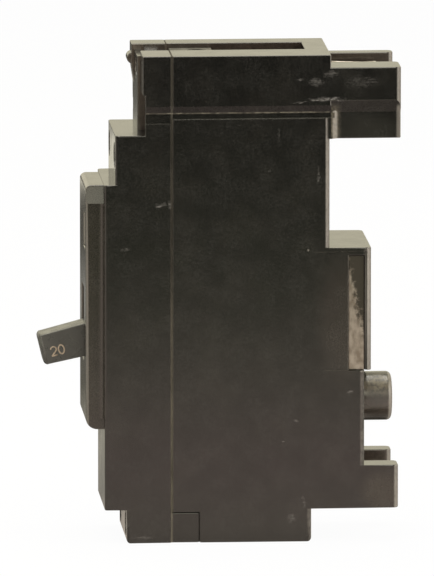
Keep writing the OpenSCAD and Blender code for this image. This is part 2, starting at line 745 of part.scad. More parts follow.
module front_cover() color("#302e2e")
  difference() {
    union() {
      difference() {
        cover_outline();
        cover_cavity();
      }
      intersection() {
        bar_x(handle_y, pivot_z, boss_wall_r, -in_x - 0.5, -in_x + pivot_boss);
        box([-half, front_y, 0], [half, 0, case_h]);
      }
      for (s = [-1, 1]) {
        pillar(s * screw_x, lower_screw_z, -toe_d + 0.5, 0);
        pillar(s * screw_x, upper_screw_z, -ledge_d + 0.5, 0);
      }
    }
    for (s = [-1, 1])
      box([s > 0 ? half - groove_d : -half - 1, -block_front - 1, block_z - 1.9 * groove_h],
        [s > 0 ? half + 1 : -half + groove_d, 1, block_z]);
    seam();
    lower_corner(-toe_d, 1);
    // handle slot and test button hole
    box([-handle_w / 2 - 0.3, surround_y - 1, pivot_z - slot_half()],
      [handle_w / 2 + 0.3, surround_y + surround_wall + 1, pivot_z + slot_half()]);
    box([button_x - button_w / 2 - 0.15, surround_y - 1, button_z - button_h / 2 - 0.15],
      [button_x + button_w / 2 + 0.15, surround_y + surround_wall + 1, button_z + button_h / 2 + 0.15]);
    bar_x(handle_y, pivot_z, pin_r + run_gap, pin_x0 - seat_gap / 2, 0);
    for (s = [-1, 1]) {
      bar_y(s * screw_x, lower_screw_z, case_screw_r + run_gap, -toe_d - 1, 1);
      bar_y(s * screw_x, lower_screw_z, case_head_r + run_gap, -toe_d - 1, -toe_d + head_h);
      bar_y(s * screw_x, upper_screw_z, case_screw_r + run_gap, -ledge_d - 1, 1);
      bar_y(s * screw_x, upper_screw_z, case_head_r + run_gap, -ledge_d - 1, -ledge_d + head_h);
    }
    // wiring channel, the way in to its screw, and the terminal recess beside and below it
    box([channel_x0, apron_y + apron_t, channel_z], [channel_x1, 1, case_h + 1]);
    box([channel_x0, apron_y - 1, case_h - apron_drop], [channel_x1, 1, case_h + 1]);
    bar_y(channel_x, load_z + lug_h / 2, access_r, apron_y - 1, apron_y + apron_t + 1);
    box([channel_x1, apron_y - 1, ledge_top], [block_half + 1, -block_front + recess_step, recess_z + recess_h]);
    box([channel_x1, apron_y - 1, ledge_top], [half - 1, -block_front + recess_d, recess_z + recess_h - 0.8]);
    box([neutral_screw_x - neutral_half, apron_y - 1, recess_z],
      [neutral_screw_x + neutral_half, 1, recess_z + recess_h - 0.8]);
  }

module mid_barrier() color("#b9a67a")
  difference() {
    box([barrier_x, front_y + wall + 0.3, wall + 0.2], [barrier_x + barrier_t, strap_y - 0.5, board_z1 + 4]);
    box([barrier_x - 1, front_y, -1], [barrier_x + barrier_t + 1, -toe_d + wall + 0.3, toe_h + wall + 0.3]);
    box([barrier_x - 1, heel_d - wall - 0.3, -1], [barrier_x + barrier_t + 1, base_d, heel_h + wall + 0.3]);
    box([barrier_x - 1, upper_d - wall - 0.3, bulge_top - wall - 0.3], [barrier_x + barrier_t + 1, base_d, case_h]);
    for (p = [[handle_y, pivot_z], [arm_y, arm_z], [cradle_y, cradle_z]])
      bar_x(p[0], p[1], pin_r + run_gap, barrier_x - 1, barrier_x + barrier_t + 1);
  }

module case_screw(x, z, front, depth) {
  difference() {
    bar_y(x, z, case_head_r, front, front + head_h - 0.2);
    box([x - 0.4, front - 1, z - case_head_r], [x + 0.4, front + 0.8, z + case_head_r]);
  }
  bar_y(x, z, case_screw_r, front + head_h - 0.3, depth);
}

module case_screws() color("#9a9a96")
  for (s = [-1, 1]) {
    case_screw(s * screw_x, lower_screw_z, -toe_d + 0.2, 12);
    case_screw(s * screw_x, upper_screw_z, -ledge_d + 0.2, ring_y - 2.7);
  }

// Handle and contacts

// The lever in side view, pointing to -Y from the pivot, with a rounded tip
module lever_profile() {
  tip = handle_y - handle_len;
  t = handle_t / 2;
  r = 0.9;
  polygon([[handle_y, pivot_z - t - 0.6], [tip + r, pivot_z - t], [tip, pivot_z - t + r],
    [tip, pivot_z + t - r], [tip + r, pivot_z + t], [handle_y, pivot_z + t + 0.6]]);
  for (s = [-1, 1]) translate([tip + r, pivot_z + s * (t - r)]) circle(r);
}

module shield_profile()
  translate([handle_y, pivot_z])
    intersection() {
      difference() {
        circle(shield_r, $fn = 96);
        circle(shield_r - shield_t, $fn = 96);
      }
      polygon([[0, 0], 2 * shield_r * [-cos(shield_angle), sin(shield_angle)],
        [-2 * shield_r, 0], 2 * shield_r * [-cos(shield_angle), -sin(shield_angle)]]);
    }

// Fork that carries the drive pin of the contact arm
module drive_fork()
  difference() {
    across(-1.2, 1.2)
      translate([handle_y, pivot_z]) rotate(drive_angle)
        translate([0, -3.2]) square([drive_len - tail_len + 2.4, 6.4]);
    across(-2.2, 2.2)
      translate([handle_y, pivot_z]) rotate(drive_angle)
        translate([drive_len - tail_len - drive_pin_r - 0.8, -drive_pin_r - seat_gap])
          square([10, 2 * (drive_pin_r + seat_gap)]);
  }

module handle() color("#262626")
  turned(handle_y, pivot_z, handle_tilt)
    difference() {
      union() {
        intersection() {
          across(-handle_w / 2, handle_w / 2) lever_profile();
          round_block(-handle_w / 2, handle_w / 2, handle_y + 1, handle_y - handle_len,
            pivot_z - handle_t, pivot_z + handle_t, 0.9);
        }
        across(-handle_w / 2 - 1, barrier_x - 0.25) shield_profile();
        bar_x(handle_y, pivot_z, hub_r, hub_x0, hub_x1);
        drive_fork();
      }
      bar_x(handle_y, pivot_z, pin_r + run_gap, -in_x, in_x);
    }

module handle_pin() color("#8c8f91")
  bar_x(handle_y, pivot_z, pin_r, pin_x0, pin_x1);

module arm_pin() color("#8c8f91")
  bar_x(arm_y, arm_z, pin_r, pin_x0, pin_x1);

module cradle_pin() color("#8c8f91")
  bar_x(cradle_y, cradle_z, pin_r, pin_x0, pin_x1);

// Rear face of the contact arm's pad when the contacts are closed
pad_y = strap_y - 2 * contact_t - 0.2;
tail_angle = drive_angle + 180 + arm_throw / 2;
tail_end = [arm_y, arm_z] + tail_len * [cos(tail_angle), sin(tail_angle)];
spring_arm = [arm_y, arm_z] + 12.5 * unit([pad_y - 2 - arm_y, contact_z + 2 - arm_z]);

// The arm is drawn closed and swung open about its pivot
module opened()
  turned(arm_y, arm_z, -arm_throw) children();

module contact_arm() color("#b06a3c")
  opened() {
    difference() {
      union() {
        across(arm_x - arm_t / 2, arm_x + arm_t / 2) {
          taper([arm_y, arm_z], [pad_y - 1.6, contact_z + 1], 2 * arm_hub_r, 4);
          taper([arm_y, arm_z], tail_end, 2 * arm_hub_r - 1, 3);
          translate([pad_y - 2.4, contact_z - contact_s / 2 - 0.4]) square([2.4, contact_s + 0.8]);
          translate(tail_end) circle(1.5);
        }
        bar_x(arm_y, arm_z, arm_hub_r, hub_x0, arm_x + arm_t / 2 + 1);
        bar_x(tail_end[0], tail_end[1], drive_pin_r, arm_x, 1.4);
        bar_x(spring_arm[0], spring_arm[1], 0.6, arm_x, 2.9);
      }
      bar_x(arm_y, arm_z, pin_r + run_gap, -in_x, in_x);
    }
  }

module contact_tip(y)
  box([arm_x - contact_s / 2, y, contact_z - contact_s / 2],
    [arm_x + contact_s / 2, y + contact_t, contact_z + contact_s / 2]);

module moving_contact() color("#d8d8d2")
  opened() contact_tip(pad_y);

module fixed_contact() color("#d8d8d2")
  contact_tip(strap_y - contact_t);

// Line strap: web against the rear wall, with a side leaf in the bulge's window
module line_strap() color("#cdbfae") {
  difference() {
    union() {
      box([-7, strap_y, boss_z - 6], [7, strap_y + strap_t, bulge_z + 1]);
      box([-7, strap_y, bulge_z + leaf_gap], [leaf_x, strap_y + strap_t, bulge_top - wall - leaf_gap]);
      box([leaf_x - leaf_t, strap_y + leaf_gap, bulge_z + leaf_gap],
        [leaf_x, base_d - leaf_gap, bulge_top - wall - leaf_gap]);
    }
    box([in_x - leaf_gap, strap_y - 1, bulge_z - 1], [half, strap_y + leaf_gap, bulge_top]);
    bar_y(0, boss_z, bolt_r - 0.35, strap_y - 1, base_d);
  }
}

plate_y = pad_y - 14;
plate_w = 2 * (barrier_x - 1 - arm_x);
plate_z = heel_h + wall + 4;
plate_h = contact_z - plate_drop - plate_z;

module arc_plate(y)
  difference() {
    box([arm_x - plate_w / 2, y, plate_z], [arm_x + plate_w / 2, y + plate_t, plate_z + plate_h]);
    translate([0, y - 1, 0]) rotate([90, 0, 0]) mirror([0, 0, 1]) linear_extrude(plate_t + 2)
      polygon([[arm_x - 3.2, plate_z + plate_h + 1], [arm_x - 2.6, plate_z + plate_h - 8],
        [arm_x, plate_z + plate_h - 11], [arm_x + 2.6, plate_z + plate_h - 8],
        [arm_x + 3.2, plate_z + plate_h + 1]]);
  }

module arc_plates() color("#8a8783")
  for (i = [0 : plate_count - 1]) arc_plate(plate_y + i * plate_pitch);

module arc_side_walls() color("#a05a3a")
  for (s = [-1, 1])
    box([arm_x + s * plate_w / 2 + (s > 0 ? 0 : -0.7), plate_y - 1, heel_h + wall],
      [arm_x + s * plate_w / 2 + (s > 0 ? 0.7 : 0), plate_y + (plate_count - 1) * plate_pitch + plate_t + 1,
        plate_z + plate_h]);

// Latch slope: the cradle's tip leaves the armature along this line when they trip
latch_slope = 3.2;
spring_cradle = [arm_y + 2, cradle_z - 0.4];

module cradle() color("#8f8f8a")
  difference() {
    union() {
      across(cradle_x0, cradle_x1) {
        taper([cradle_y, cradle_z], [armature_y + armature_t + 4, cradle_z - 0.4], 6.4, 3.6);
        polygon([[armature_y + armature_t + 4.2, cradle_z - 2.2],
          [armature_y + armature_t + 4.2, cradle_z + 1.4],
          [armature_y + 0.2, cradle_z + 1.2], [armature_y + 0.2, latch_z + 0.2],
          [armature_y + 0.2 + 1.2 / latch_slope, latch_z - 1],
          [armature_y + armature_t + 1.2, latch_z - 1.1]]);
        translate([cradle_y, cradle_z]) circle(boss_wall_r);
      }
      bar_x(cradle_y, cradle_z, boss_wall_r, hub_x0, cradle_x1);
      bar_x(spring_cradle[0], spring_cradle[1], 0.6, cradle_x0, 2.9);
    }
    bar_x(cradle_y, cradle_z, pin_r + run_gap, -in_x, in_x);
  }

// Toggle spring between the arm's pin and the cradle's pin, drawn at rest
arm_hook = [arm_y, arm_z] + [
  cos(arm_throw) * (spring_arm[0] - arm_y) + sin(arm_throw) * (spring_arm[1] - arm_z),
  -sin(arm_throw) * (spring_arm[0] - arm_y) + cos(arm_throw) * (spring_arm[1] - arm_z)];
toggle_run = spring_cradle - arm_hook;
toggle_len = norm(toggle_run) - 2 * (0.6 + seat_gap + toggle_wire / 2);
toggle_path = helix(toggle_r, toggle_turns, -toggle_len / 2, toggle_len / 2);
toggle_gap = self_gap(toggle_path, toggle_wire);
echo(toggle_gap = toggle_gap);

module toggle_spring() color("#777b7d")
  translate([1.6, (arm_hook[0] + spring_cradle[0]) / 2, (arm_hook[1] + spring_cradle[1]) / 2])
    rotate([atan2(toggle_run[1], toggle_run[0]) - 90, 0, 0])
      tube(toggle_path, toggle_wire / 2, 6, [1, 0, 0]);

// Trip unit

yoke_x0 = yoke_x - yoke_w / 2;
yoke_x1 = yoke_x + yoke_w / 2;
yoke_z0 = latch_z + 2.4;

module yoke_leg()
  polygon([[yoke_y, yoke_z0], [pole_y, yoke_z0], [pole_y, hinge_z - 3.4], [hinge_y + 1.6, hinge_z - 1.6],
    [hinge_y + 1.6, hinge_z + 1.6], [yoke_y, hinge_z + 1.4]]);

module yoke() color("#85827c")
  difference() {
    union() {
      box([yoke_x0, yoke_y, yoke_z0], [yoke_x1, yoke_y + yoke_t, bimetal_top + 0.3]);
      across(yoke_x0, yoke_x0 + yoke_t) yoke_leg();
      across(yoke_x1 - yoke_t, yoke_x1) yoke_leg();
    }
    bar_x(hinge_y, hinge_z, hinge_r + run_gap, -in_x, in_x);
    bar_y(yoke_x, hinge_z - 2, 1 + run_gap, yoke_y - 1, yoke_y + yoke_t + 1);
  }

module armature_pin() color("#8c8f91")
  bar_x(hinge_y, hinge_z, hinge_r, yoke_x0, yoke_x1);

module armature() color("#7d7a75") {
  w = yoke_w / 2 - yoke_t - 0.2;
  difference() {
    union() {
      box([yoke_x - w, armature_y, tail_z], [yoke_x + w, armature_y + armature_t, hinge_z]);
      box([yoke_x - w - 0.6, armature_y, tail_z], [yoke_x + w + 0.6, armature_y + armature_t, yoke_z0 - 0.4]);
      box([rod_x + rod_r + 0.3, armature_y, tail_z],
        [yoke_x + w, coil_y + 2, tail_z + armature_t]);
      bar_x(hinge_y, hinge_z, hinge_r + 0.6, yoke_x - w, yoke_x + w);
    }
    bar_x(hinge_y, hinge_z, hinge_r + run_gap, -in_x, in_x);
    // latch window, its lower edge cut to the latch slope
    across(cradle_x0 - 0.4, cradle_x1 + 0.4)
      polygon([[armature_y - 1, latch_z + 3], [armature_y - 1, latch_z + 3.6],
        [armature_y + armature_t + 1, latch_z + 3.6],
        [armature_y + armature_t + 1, latch_z - 0.2 - latch_slope * (armature_t + 0.8)],
        [armature_y + 0.2, latch_z - 0.2], [armature_y - 1, latch_z - 0.2]]);
  }
}

module bimetal() color("#a9926b") {
  w = yoke_w / 2 - yoke_t - 0.3;
  box([yoke_x - w, bimetal_y, latch_z - 2.5], [yoke_x + w, bimetal_y + bimetal_t, bimetal_top]);
  box([yoke_x - w, yoke_y + yoke_t, bimetal_top - 1.2], [yoke_x + w, bimetal_y + bimetal_t, bimetal_top]);
  box([yoke_x, bimetal_y, hinge_z + 1.7], [hot_x + 1.4, bimetal_y + bimetal_t, bimetal_top]);
}

module calibration_screw() color("#b59a55")
  difference() {
    union() {
      bar_y(yoke_x, hinge_z - 2, 1, yoke_y - 2.6, bimetal_y - 0.2);
      bar_y(yoke_x, hinge_z - 2, 1.7, yoke_y - 3.8, yoke_y - 2.5);
    }
    box([yoke_x - 0.3, yoke_y - 5, hinge_z - 5], [yoke_x + 0.3, yoke_y - 3.2, hinge_z]);
  }

braid_r = 0.9;
braid_y = bimetal_y + 0.1;
braid_path = eased([
  [yoke_x, arm_y - arm_hub_r - 0.3, arm_z - 0.6], [yoke_x, arm_y - 6, arm_z - 1.6],
  [yoke_x, braid_y, arm_z - 1.2], [yoke_x, braid_y, latch_z - 2.5]
], 1.6, 3);

module flexible_braid() color("#b8784a")
  tube(braid_path, braid_r, 8, [1, 0, 0]);

lead_y = ring_y + ring_len + 4;
hot_z = ring_z - 1;
hot_path = eased([
  [hot_x, bimetal_y + bimetal_t, bimetal_top - 0.75], [hot_x, ring_y - 3, bimetal_top - 0.75],
  [hot_x, ring_y, hot_z], [hot_x, lead_y, hot_z], [hot_x, lead_y, channel_z]
], 1.2, 3);

module hot_lead() color("#c9c4bb")
  tube(hot_path, lead_r, 8, [1, 0, 0]);

neutral_path = eased([
  [neutral_screw_x - 2.3, 2, recess_z + 2], [neutral_screw_x - 2.3, 5.4, recess_z + 2],
  [neutral_screw_x - 2.3, 5.6, roof_z - 3], [neutral_x, 6.8, ring_z + 0.8],
  [neutral_x, ring_y + ring_len + 1, ring_z + 0.8], [clip_tail_x, upper_d - wall - 5, ring_z + 3],
  [clip_tail_x, upper_d - wall - 5, clip_z + 0.6], [clip_tail_x, upper_d - wall - 2, clip_z + 0.6]
], 1.4, 3);

module neutral_lead() color("#e4e2da")
  tube(neutral_path, lead_r, 8, [1, 0, 0]);

module ring_section(r0, r1, y0, y1)
  difference() {
    bar_y(0, ring_z, r1, y0, y1);
    bar_y(0, ring_z, r0, y0 - 1, y1 + 1);
  }

module transformer_core() color("#4a4642")
  ring_section(ring_hole_r + 0.8, ring_r - 0.8, ring_y + 0.8, ring_y + ring_len - 0.8);

module transformer_winding() color("#a8642f")
  difference() {
    ring_section(ring_hole_r, ring_r, ring_y, ring_y + ring_len);
    ring_section(ring_hole_r + 0.7, ring_r - 0.7, ring_y + 0.7, ring_y + ring_len - 0.7);
  }

// Solenoid

module solenoid_frame() color("#8b8a86") {
  x0 = coil_x - coil_r - 0.3;
  x1 = coil_x + coil_r + 0.4;
  y0 = coil_y - coil_r + 0.4;
  y1 = coil_y + coil_r - 0.4;
  box([x0, y0, pedestal_z], [x1 + frame_t, y1, pedestal_z + frame_t]);
  box([x1, y0, pedestal_z], [x1 + frame_t, y1, frame_top]);
  difference() {
    box([x0, y0, frame_top - frame_t], [x1 + frame_t, y1, frame_top]);
    bar_z(coil_x, coil_y, plunger_r + 0.3, frame_top - frame_t - 1, frame_top + 1);
  }
}

module solenoid_bobbin() color("#d9d4c6")
  difference() {
    union() {
      bar_z(coil_x, coil_y, plunger_r + 0.6, bobbin_z, bobbin_z + bobbin_h);
      bar_z(coil_x, coil_y, coil_r, bobbin_z, bobbin_z + 0.8);
      bar_z(coil_x, coil_y, coil_r, bobbin_z + bobbin_h - 0.8, bobbin_z + bobbin_h);
    }
    bar_z(coil_x, coil_y, plunger_r + run_gap, bobbin_z - 1, bobbin_z + bobbin_h + 1);
  }

module solenoid_coil() color("#9c4f28")
  difference() {
    bar_z(coil_x, coil_y, coil_r - 0.2, bobbin_z + 0.85, bobbin_z + bobbin_h - 0.85);
    bar_z(coil_x, coil_y, plunger_r + 0.7, bobbin_z, bobbin_z + bobbin_h);
  }

module solenoid_plunger() color("#9a9b9b") {
  bar_z(coil_x, coil_y, plunger_r, bobbin_z + plunger_stroke + 1, collar_z + 0.5);
  bar_z(coil_x, coil_y, coil_x - rod_x + rod_r + 0.3, collar_z, collar_z + 1.2);
}

module trip_rod() color("#a2a3a0") {
  bar_z(rod_x, coil_y, rod_r, collar_z + 1.2, rod_top + 0.4);
  box([rod_x - rod_r, coil_y - 0.8, rod_top], [rod_x + 1.6, coil_y + 0.8, rod_top + 0.8]);
}

return_path = helix(return_r, return_turns, frame_top + return_wire / 2 + 0.05,
  collar_z - return_wire / 2 - 0.05);
return_gap = self_gap(return_path, return_wire);
echo(return_gap = return_gap);

module plunger_spring() color("#777b7d")
  translate([coil_x, coil_y, 0]) tube(return_path, return_wire / 2, 6, [0, 0, 1]);

// Sensing electronics

module circuit_board() color("#3f6b45")
  difference() {
    box([board_x, board_y0, board_z0], [board_x + board_t, board_y1, board_z1]);
    for (z = [board_z0 + 4, board_z1 - 4], y = [board_y0 + 4, board_y1 - 4])
      bar_x(y, z, 1.2, board_x - 1, board_x + board_t + 1);
  }

module control_chip() color("#1d1d1f") {
  box([board_x - 1.6, chip_y, chip_z], [board_x - 0.1, chip_y + 4, chip_z + 6]);
  for (i = [0 : 3], y = [chip_y - 1, chip_y + 4])
    box([board_x - 0.6, y, chip_z + 0.6 + i * 1.4], [board_x, y + 1, chip_z + 1.1 + i * 1.4]);
}

module filter_capacitor() color("#2f4f7f")
  box([board_x - 2.6, capacitor_y, capacitor_z], [board_x, capacitor_y + 7, capacitor_z + 4]);

module varistor() color("#c06a2a")
  bar_x(varistor_y, varistor_z, varistor_r, board_x - 2.5, board_x);

module board_resistors() color("#b7a183")
  for (i = [0 : 3])
    bar_y(board_x - resistor_r, resistor_z + 4 * i, resistor_r, -4, 2.4);

module test_button() color("#c9c6bd") {
  y0 = surround_y + 0.15;
  y1 = surround_y + surround_wall + 0.1;
  box([button_x - button_w / 2, y0, button_z - button_h / 2], [button_x + button_w / 2, y1, button_z + button_h / 2]);
  box([button_x - button_w / 2 - 0.35, y1, button_z - button_h / 2 - 0.5],
    [button_x + button_w / 2 + 0.35, y1 + 1.2, button_z + button_h / 2 + 0.5]);
  box([barrier_x + barrier_t + 0.5, y1, button_z - 1], [barrier_x + barrier_t + 2, blade_y - 0.3, button_z + 1]);
}

module test_blade() color("#b08d57") {
  x0 = barrier_x + barrier_t + 0.4;
  x1 = board_x - 0.3;
  box([x0, blade_y, blade_z - 1], [x0 + 2, blade_y + 0.4, button_z + 2]);
  box([x0, blade_y, blade_z - 1], [x1, blade_y + 2.4, blade_z + 1]);
}

// Terminals

module load_strap() color("#c58a52")
  box([channel_x - 3, 2, channel_z], [channel_x + 3, lead_y + 2, load_z]);

module load_lug() color("#c6c8c8") {
  y0 = 0.5;
  difference() {
    box([channel_x - lug_w / 2, y0, load_z], [channel_x + lug_w / 2, y0 + lug_d, load_z + lug_h]);
    bar_z(channel_x, y0 + 5.7, wire_r, load_z - 1, load_z + lug_h + 1);
    bar_y(channel_x, load_z + lug_h / 2, load_screw_r + run_gap, y0 - 1, y0 + 5);
  }
}

module slotted_screw(x, z, r, head, y0, y1, y2)
  difference() {
    union() {
      bar_y(x, z, head, y0, y1);
      bar_y(x, z, r, y1 - 0.1, y2);
    }
    box([x - head - 1, y0 - 1, z - 0.5], [x + head + 1, y0 + 1, z + 0.5]);
  }

module load_screw() color("#a8a9a6")
  slotted_screw(channel_x, load_z + lug_h / 2, load_screw_r, load_head_r, -4.4, -1.6, 3.4);

module neutral_plate() color("#c9a24a")
  difference() {
    box([neutral_screw_x - neutral_half + 0.3, 0.5, recess_z + 0.2],
      [neutral_screw_x + neutral_half - 0.3, 2, recess_z + recess_h - 1]);
    bar_y(neutral_screw_x, neutral_z, neutral_screw_r + run_gap, 0, 3);
  }

module neutral_clamp() color("#b9b9b4")
  difference() {
    bar_y(neutral_screw_x, neutral_z, neutral_head_r + 0.2, -1.4, -0.4);
    bar_y(neutral_screw_x, neutral_z, neutral_screw_r + run_gap, -2, 1);
  }

module neutral_screw() color("#a8a9a6")
  slotted_screw(neutral_screw_x, neutral_z, neutral_screw_r, neutral_head_r, -3.6, -1.4, 6);

// Neutral clip: web and tail, with two leaves that close on the panel's neutral bar
module clip_leaf(s) {
  x = slot_x + s * 4.6;
  translate([0, 0, clip_z + 1.6]) linear_extrude(8.2)
    polygon([[x, block_d + 1.4], [x - s * 1.6, block_d + 8], [x - s * 0.6, block_d + 11],
      [x + s * 0.2, block_d + 11], [x - s * 0.8, block_d + 8], [x + s * 0.8, block_d + 1.4]]);
}

module neutral_clip() color("#d2b99c") {
  box([slot_x - 5.4, block_d + 0.4, clip_z], [slot_x + 5.4, block_d + 1.4, clip_z + 9.8]);
  box([clip_tail_x - 2, upper_d - wall - 1.7, clip_z], [clip_tail_x + 2, block_d + 0.4, clip_z + 1.2]);
  clip_leaf(1);
  clip_leaf(-1);
}

seated() rear_base();
seated() front_cover();
seated() mid_barrier();
seated() case_screws();
seated() handle();
seated() handle_pin();
seated() contact_arm();
seated() arm_pin();
seated() moving_contact();
seated() fixed_contact();
seated() line_strap();
seated() arc_plates();
seated() arc_side_walls();
seated() cradle();
seated() cradle_pin();
seated() toggle_spring();
seated() yoke();
seated() armature();
seated() armature_pin();
seated() bimetal();
seated() calibration_screw();
seated() flexible_braid();
seated() hot_lead();
seated() neutral_lead();
seated() transformer_core();
seated() transformer_winding();
seated() solenoid_frame();
seated() solenoid_bobbin();
seated() solenoid_coil();
seated() solenoid_plunger();
seated() trip_rod();
seated() plunger_spring();
seated() circuit_board();
seated() control_chip();
seated() filter_capacitor();
seated() varistor();
seated() board_resistors();
seated() test_button();
seated() test_blade();
seated() load_strap();
seated() load_lug();
seated() load_screw();
seated() neutral_plate();
seated() neutral_clamp();
seated() neutral_screw();
seated() neutral_clip();
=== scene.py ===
import json
import math

import bmesh
import bpy
import numpy as np
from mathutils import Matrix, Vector


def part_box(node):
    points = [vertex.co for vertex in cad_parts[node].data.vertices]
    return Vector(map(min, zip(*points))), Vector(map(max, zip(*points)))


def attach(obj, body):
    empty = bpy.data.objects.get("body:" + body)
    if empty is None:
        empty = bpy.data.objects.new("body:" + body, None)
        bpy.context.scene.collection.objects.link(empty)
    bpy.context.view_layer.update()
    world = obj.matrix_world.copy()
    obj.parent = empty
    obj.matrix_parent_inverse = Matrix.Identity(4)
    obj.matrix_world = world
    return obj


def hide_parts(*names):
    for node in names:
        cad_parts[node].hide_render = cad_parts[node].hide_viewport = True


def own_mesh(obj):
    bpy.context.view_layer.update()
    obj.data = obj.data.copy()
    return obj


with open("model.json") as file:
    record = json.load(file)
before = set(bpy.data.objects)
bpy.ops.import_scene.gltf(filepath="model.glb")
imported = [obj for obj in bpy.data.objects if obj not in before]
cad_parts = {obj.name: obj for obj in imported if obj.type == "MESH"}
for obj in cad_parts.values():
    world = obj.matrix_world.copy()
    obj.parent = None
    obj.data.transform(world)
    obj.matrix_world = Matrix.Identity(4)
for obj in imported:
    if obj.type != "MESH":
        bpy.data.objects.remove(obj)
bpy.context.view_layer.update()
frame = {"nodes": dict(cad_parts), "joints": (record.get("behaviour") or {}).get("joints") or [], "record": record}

# Real sizes are in millimetres and become metres through MM
MM = 0.001
NODES = frame["nodes"]
RECORD = frame["record"]
BODY_OF = {node: body for body, nodes in RECORD["behaviour"]["bodies"].items() for node in nodes}
SLOT_OF = {part["node"]: part["material_slot"] for part in RECORD["subparts"]}
JOINT_AT = {joint["name"]: np.array(joint["pos_m"]) / MM for joint in frame["joints"]}

# The terminal block stands proud of the near wall by BLOCK_PROUD
BLOCK_PROUD = 0.7
NEAR_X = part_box("rear_base")[1].x / MM - BLOCK_PROUD
SEAM_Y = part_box("rear_base")[0].y / MM
FLOOR_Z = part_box("rear_base")[0].z / MM


def at(x, y, z):
    """A point given from mid-width, the seam and the lower end, in the frame's millimetres."""
    return np.array([x, y + SEAM_Y, z + FLOOR_Z])


# Meshes

def to_mesh(name, points, faces, smooth=True):
    """A named object from points in millimetres and lists of corner numbers."""
    mesh = bpy.data.meshes.new(name)
    mesh.from_pydata((np.asarray(points).reshape(-1, 3) * MM).tolist(), [], faces)
    work = bmesh.new()
    work.from_mesh(mesh)
    bmesh.ops.recalc_face_normals(work, faces=work.faces)
    work.to_mesh(mesh)
    work.free()
    mesh.polygons.foreach_set("use_smooth", np.full(len(mesh.polygons), smooth))
    mesh.update()
    piece = bpy.data.objects.new(name, mesh)
    bpy.context.scene.collection.objects.link(piece)
    return piece


def corner_points(mesh):
    """The mesh's points as an array, in metres."""
    points = np.empty(len(mesh.vertices) * 3)
    mesh.vertices.foreach_get("co", points)
    return points.reshape(-1, 3)


def ring_faces(rings, sides, closed):
    """Quads between neighbouring rings of equal size, with a cap on each open end."""
    index = np.arange(rings * sides).reshape(rings, sides)
    low = index if closed else index[:-1]
    high = np.roll(index, -1, 0) if closed else index[1:]
    quads = np.stack([low, np.roll(low, -1, 1), np.roll(high, -1, 1), high], -1).reshape(-1, 4).tolist()
    return quads if closed else quads + [index[0][::-1].tolist(), index[-1].tolist()]


def swept(path, across, lift, up, sides=12, closed=False):
    """Points p(i) + across·cos(a)·m(i) + lift·sin(a)·n(i), where m = tangent × up and n = m × tangent: an
    ellipse of half sizes across and lift carried along the path. up is one vector, or one for each point."""
    path = np.asarray(path, float)
    ahead = np.roll(path, -1, 0) if closed else np.vstack([path[1:], path[-1:]])
    behind = np.roll(path, 1, 0) if closed else np.vstack([path[:1], path[:-1]])
    tangent = ahead - behind
    tangent /= np.linalg.norm(tangent, axis=1, keepdims=True)
    side = np.cross(tangent, np.asarray(up, float))
    side /= np.linalg.norm(side, axis=1, keepdims=True)
    rise = np.cross(side, tangent)
    angle = np.linspace(0, 2 * np.pi, sides, endpoint=False)[None, :, None]
    points = path[:, None] + across * np.cos(angle) * side[:, None] + lift * np.sin(angle) * rise[:, None]
    return points, ring_faces(len(path), sides, closed)


# A bend takes up this share of a length between two bends, and END_ROOM times as much at the ends of a route
BEND_ROOM, END_ROOM = 0.48, 1.9


def eased(corners, radius, steps=8):
    """A polyline whose corners c give way to curves (1-t)²·a + 2t(1-t)·c + t²·b, with a and b radius away, or
    less where a length between two corners has no room."""
    corners = np.asarray(corners, float)
    room = np.linalg.norm(np.diff(corners, axis=0), axis=1) * BEND_ROOM
    room[[0, -1]] *= END_ROOM
    radius = np.minimum(radius, np.minimum(room[:-1], room[1:]))[:, None]
    to_last = corners[:-2] - corners[1:-1]
    to_next = corners[2:] - corners[1:-1]
    start = corners[1:-1] + radius * to_last / np.linalg.norm(to_last, axis=1, keepdims=True)
    end = corners[1:-1] + radius * to_next / np.linalg.norm(to_next, axis=1, keepdims=True)
    t = np.linspace(0, 1, steps + 1)[None, :, None]
    curve = (1 - t) ** 2 * start[:, None] + 2 * t * (1 - t) * corners[1:-1, None] + t ** 2 * end[:, None]
    return np.vstack([corners[:1], curve.reshape(-1, 3), corners[-1:]])


def helix(start, end, radius, turns, steps=24):
    """Points start + s·(end - start) + radius·(cos a·u + sin a·v), with a = 2π·turns·s and u, v square to
    the axis, and the axis itself."""
    start, end = np.asarray(start, float), np.asarray(end, float)
    axis = (end - start) / np.linalg.norm(end - start)
    u = np.cross(axis, [1.0, 0.0, 0.0])
    u /= np.linalg.norm(u)
    v = np.cross(axis, u)
    s = np.linspace(0, 1, int(turns * steps) + 1)[:, None]
    angle = 2 * np.pi * turns * s
    return start + s * (end - start) + radius * (np.cos(angle) * u + np.sin(angle) * v), axis


# Edges by their angle in degrees: up to FLAT they merge away, under SLIGHT they are smooth, from SHARP on
# sharp, from ROUND on rounded, and past FOLD the piece doubles back on itself
FLAT, SLIGHT, SHARP, ROUND, FOLD = 0.6, 8, 15, 24, 140
# A rounding takes up FACE_ROOM radii of the face on each side, and is left out where a face has less than
# NEARLY that much
FACE_ROOM, NEARLY = 2.3, 0.95
# A strip wider than WIDE_STRIP, or a face of more than WIDE_FACE square millimetres, is no part of a curve
WIDE_STRIP, WIDE_FACE = 2.0, 6.0
# Share of the rounding that the seam's edges get, and how near its plane these lie
SEAM_SHARE, SEAM_NEAR = 0.45, 0.05
# Where roundings fold over: the span to search in radii, the length from which an edge is tried last, and the
# share under which a rounding goes
FOLD_SPAN, LONG_EDGE, LEAST_SHARE = 2.5, 4.0, 0.1
# Points nearer than this are one
SAME_POINT = 0.002
BEVEL_SHARE = "bevel_weight_edge"


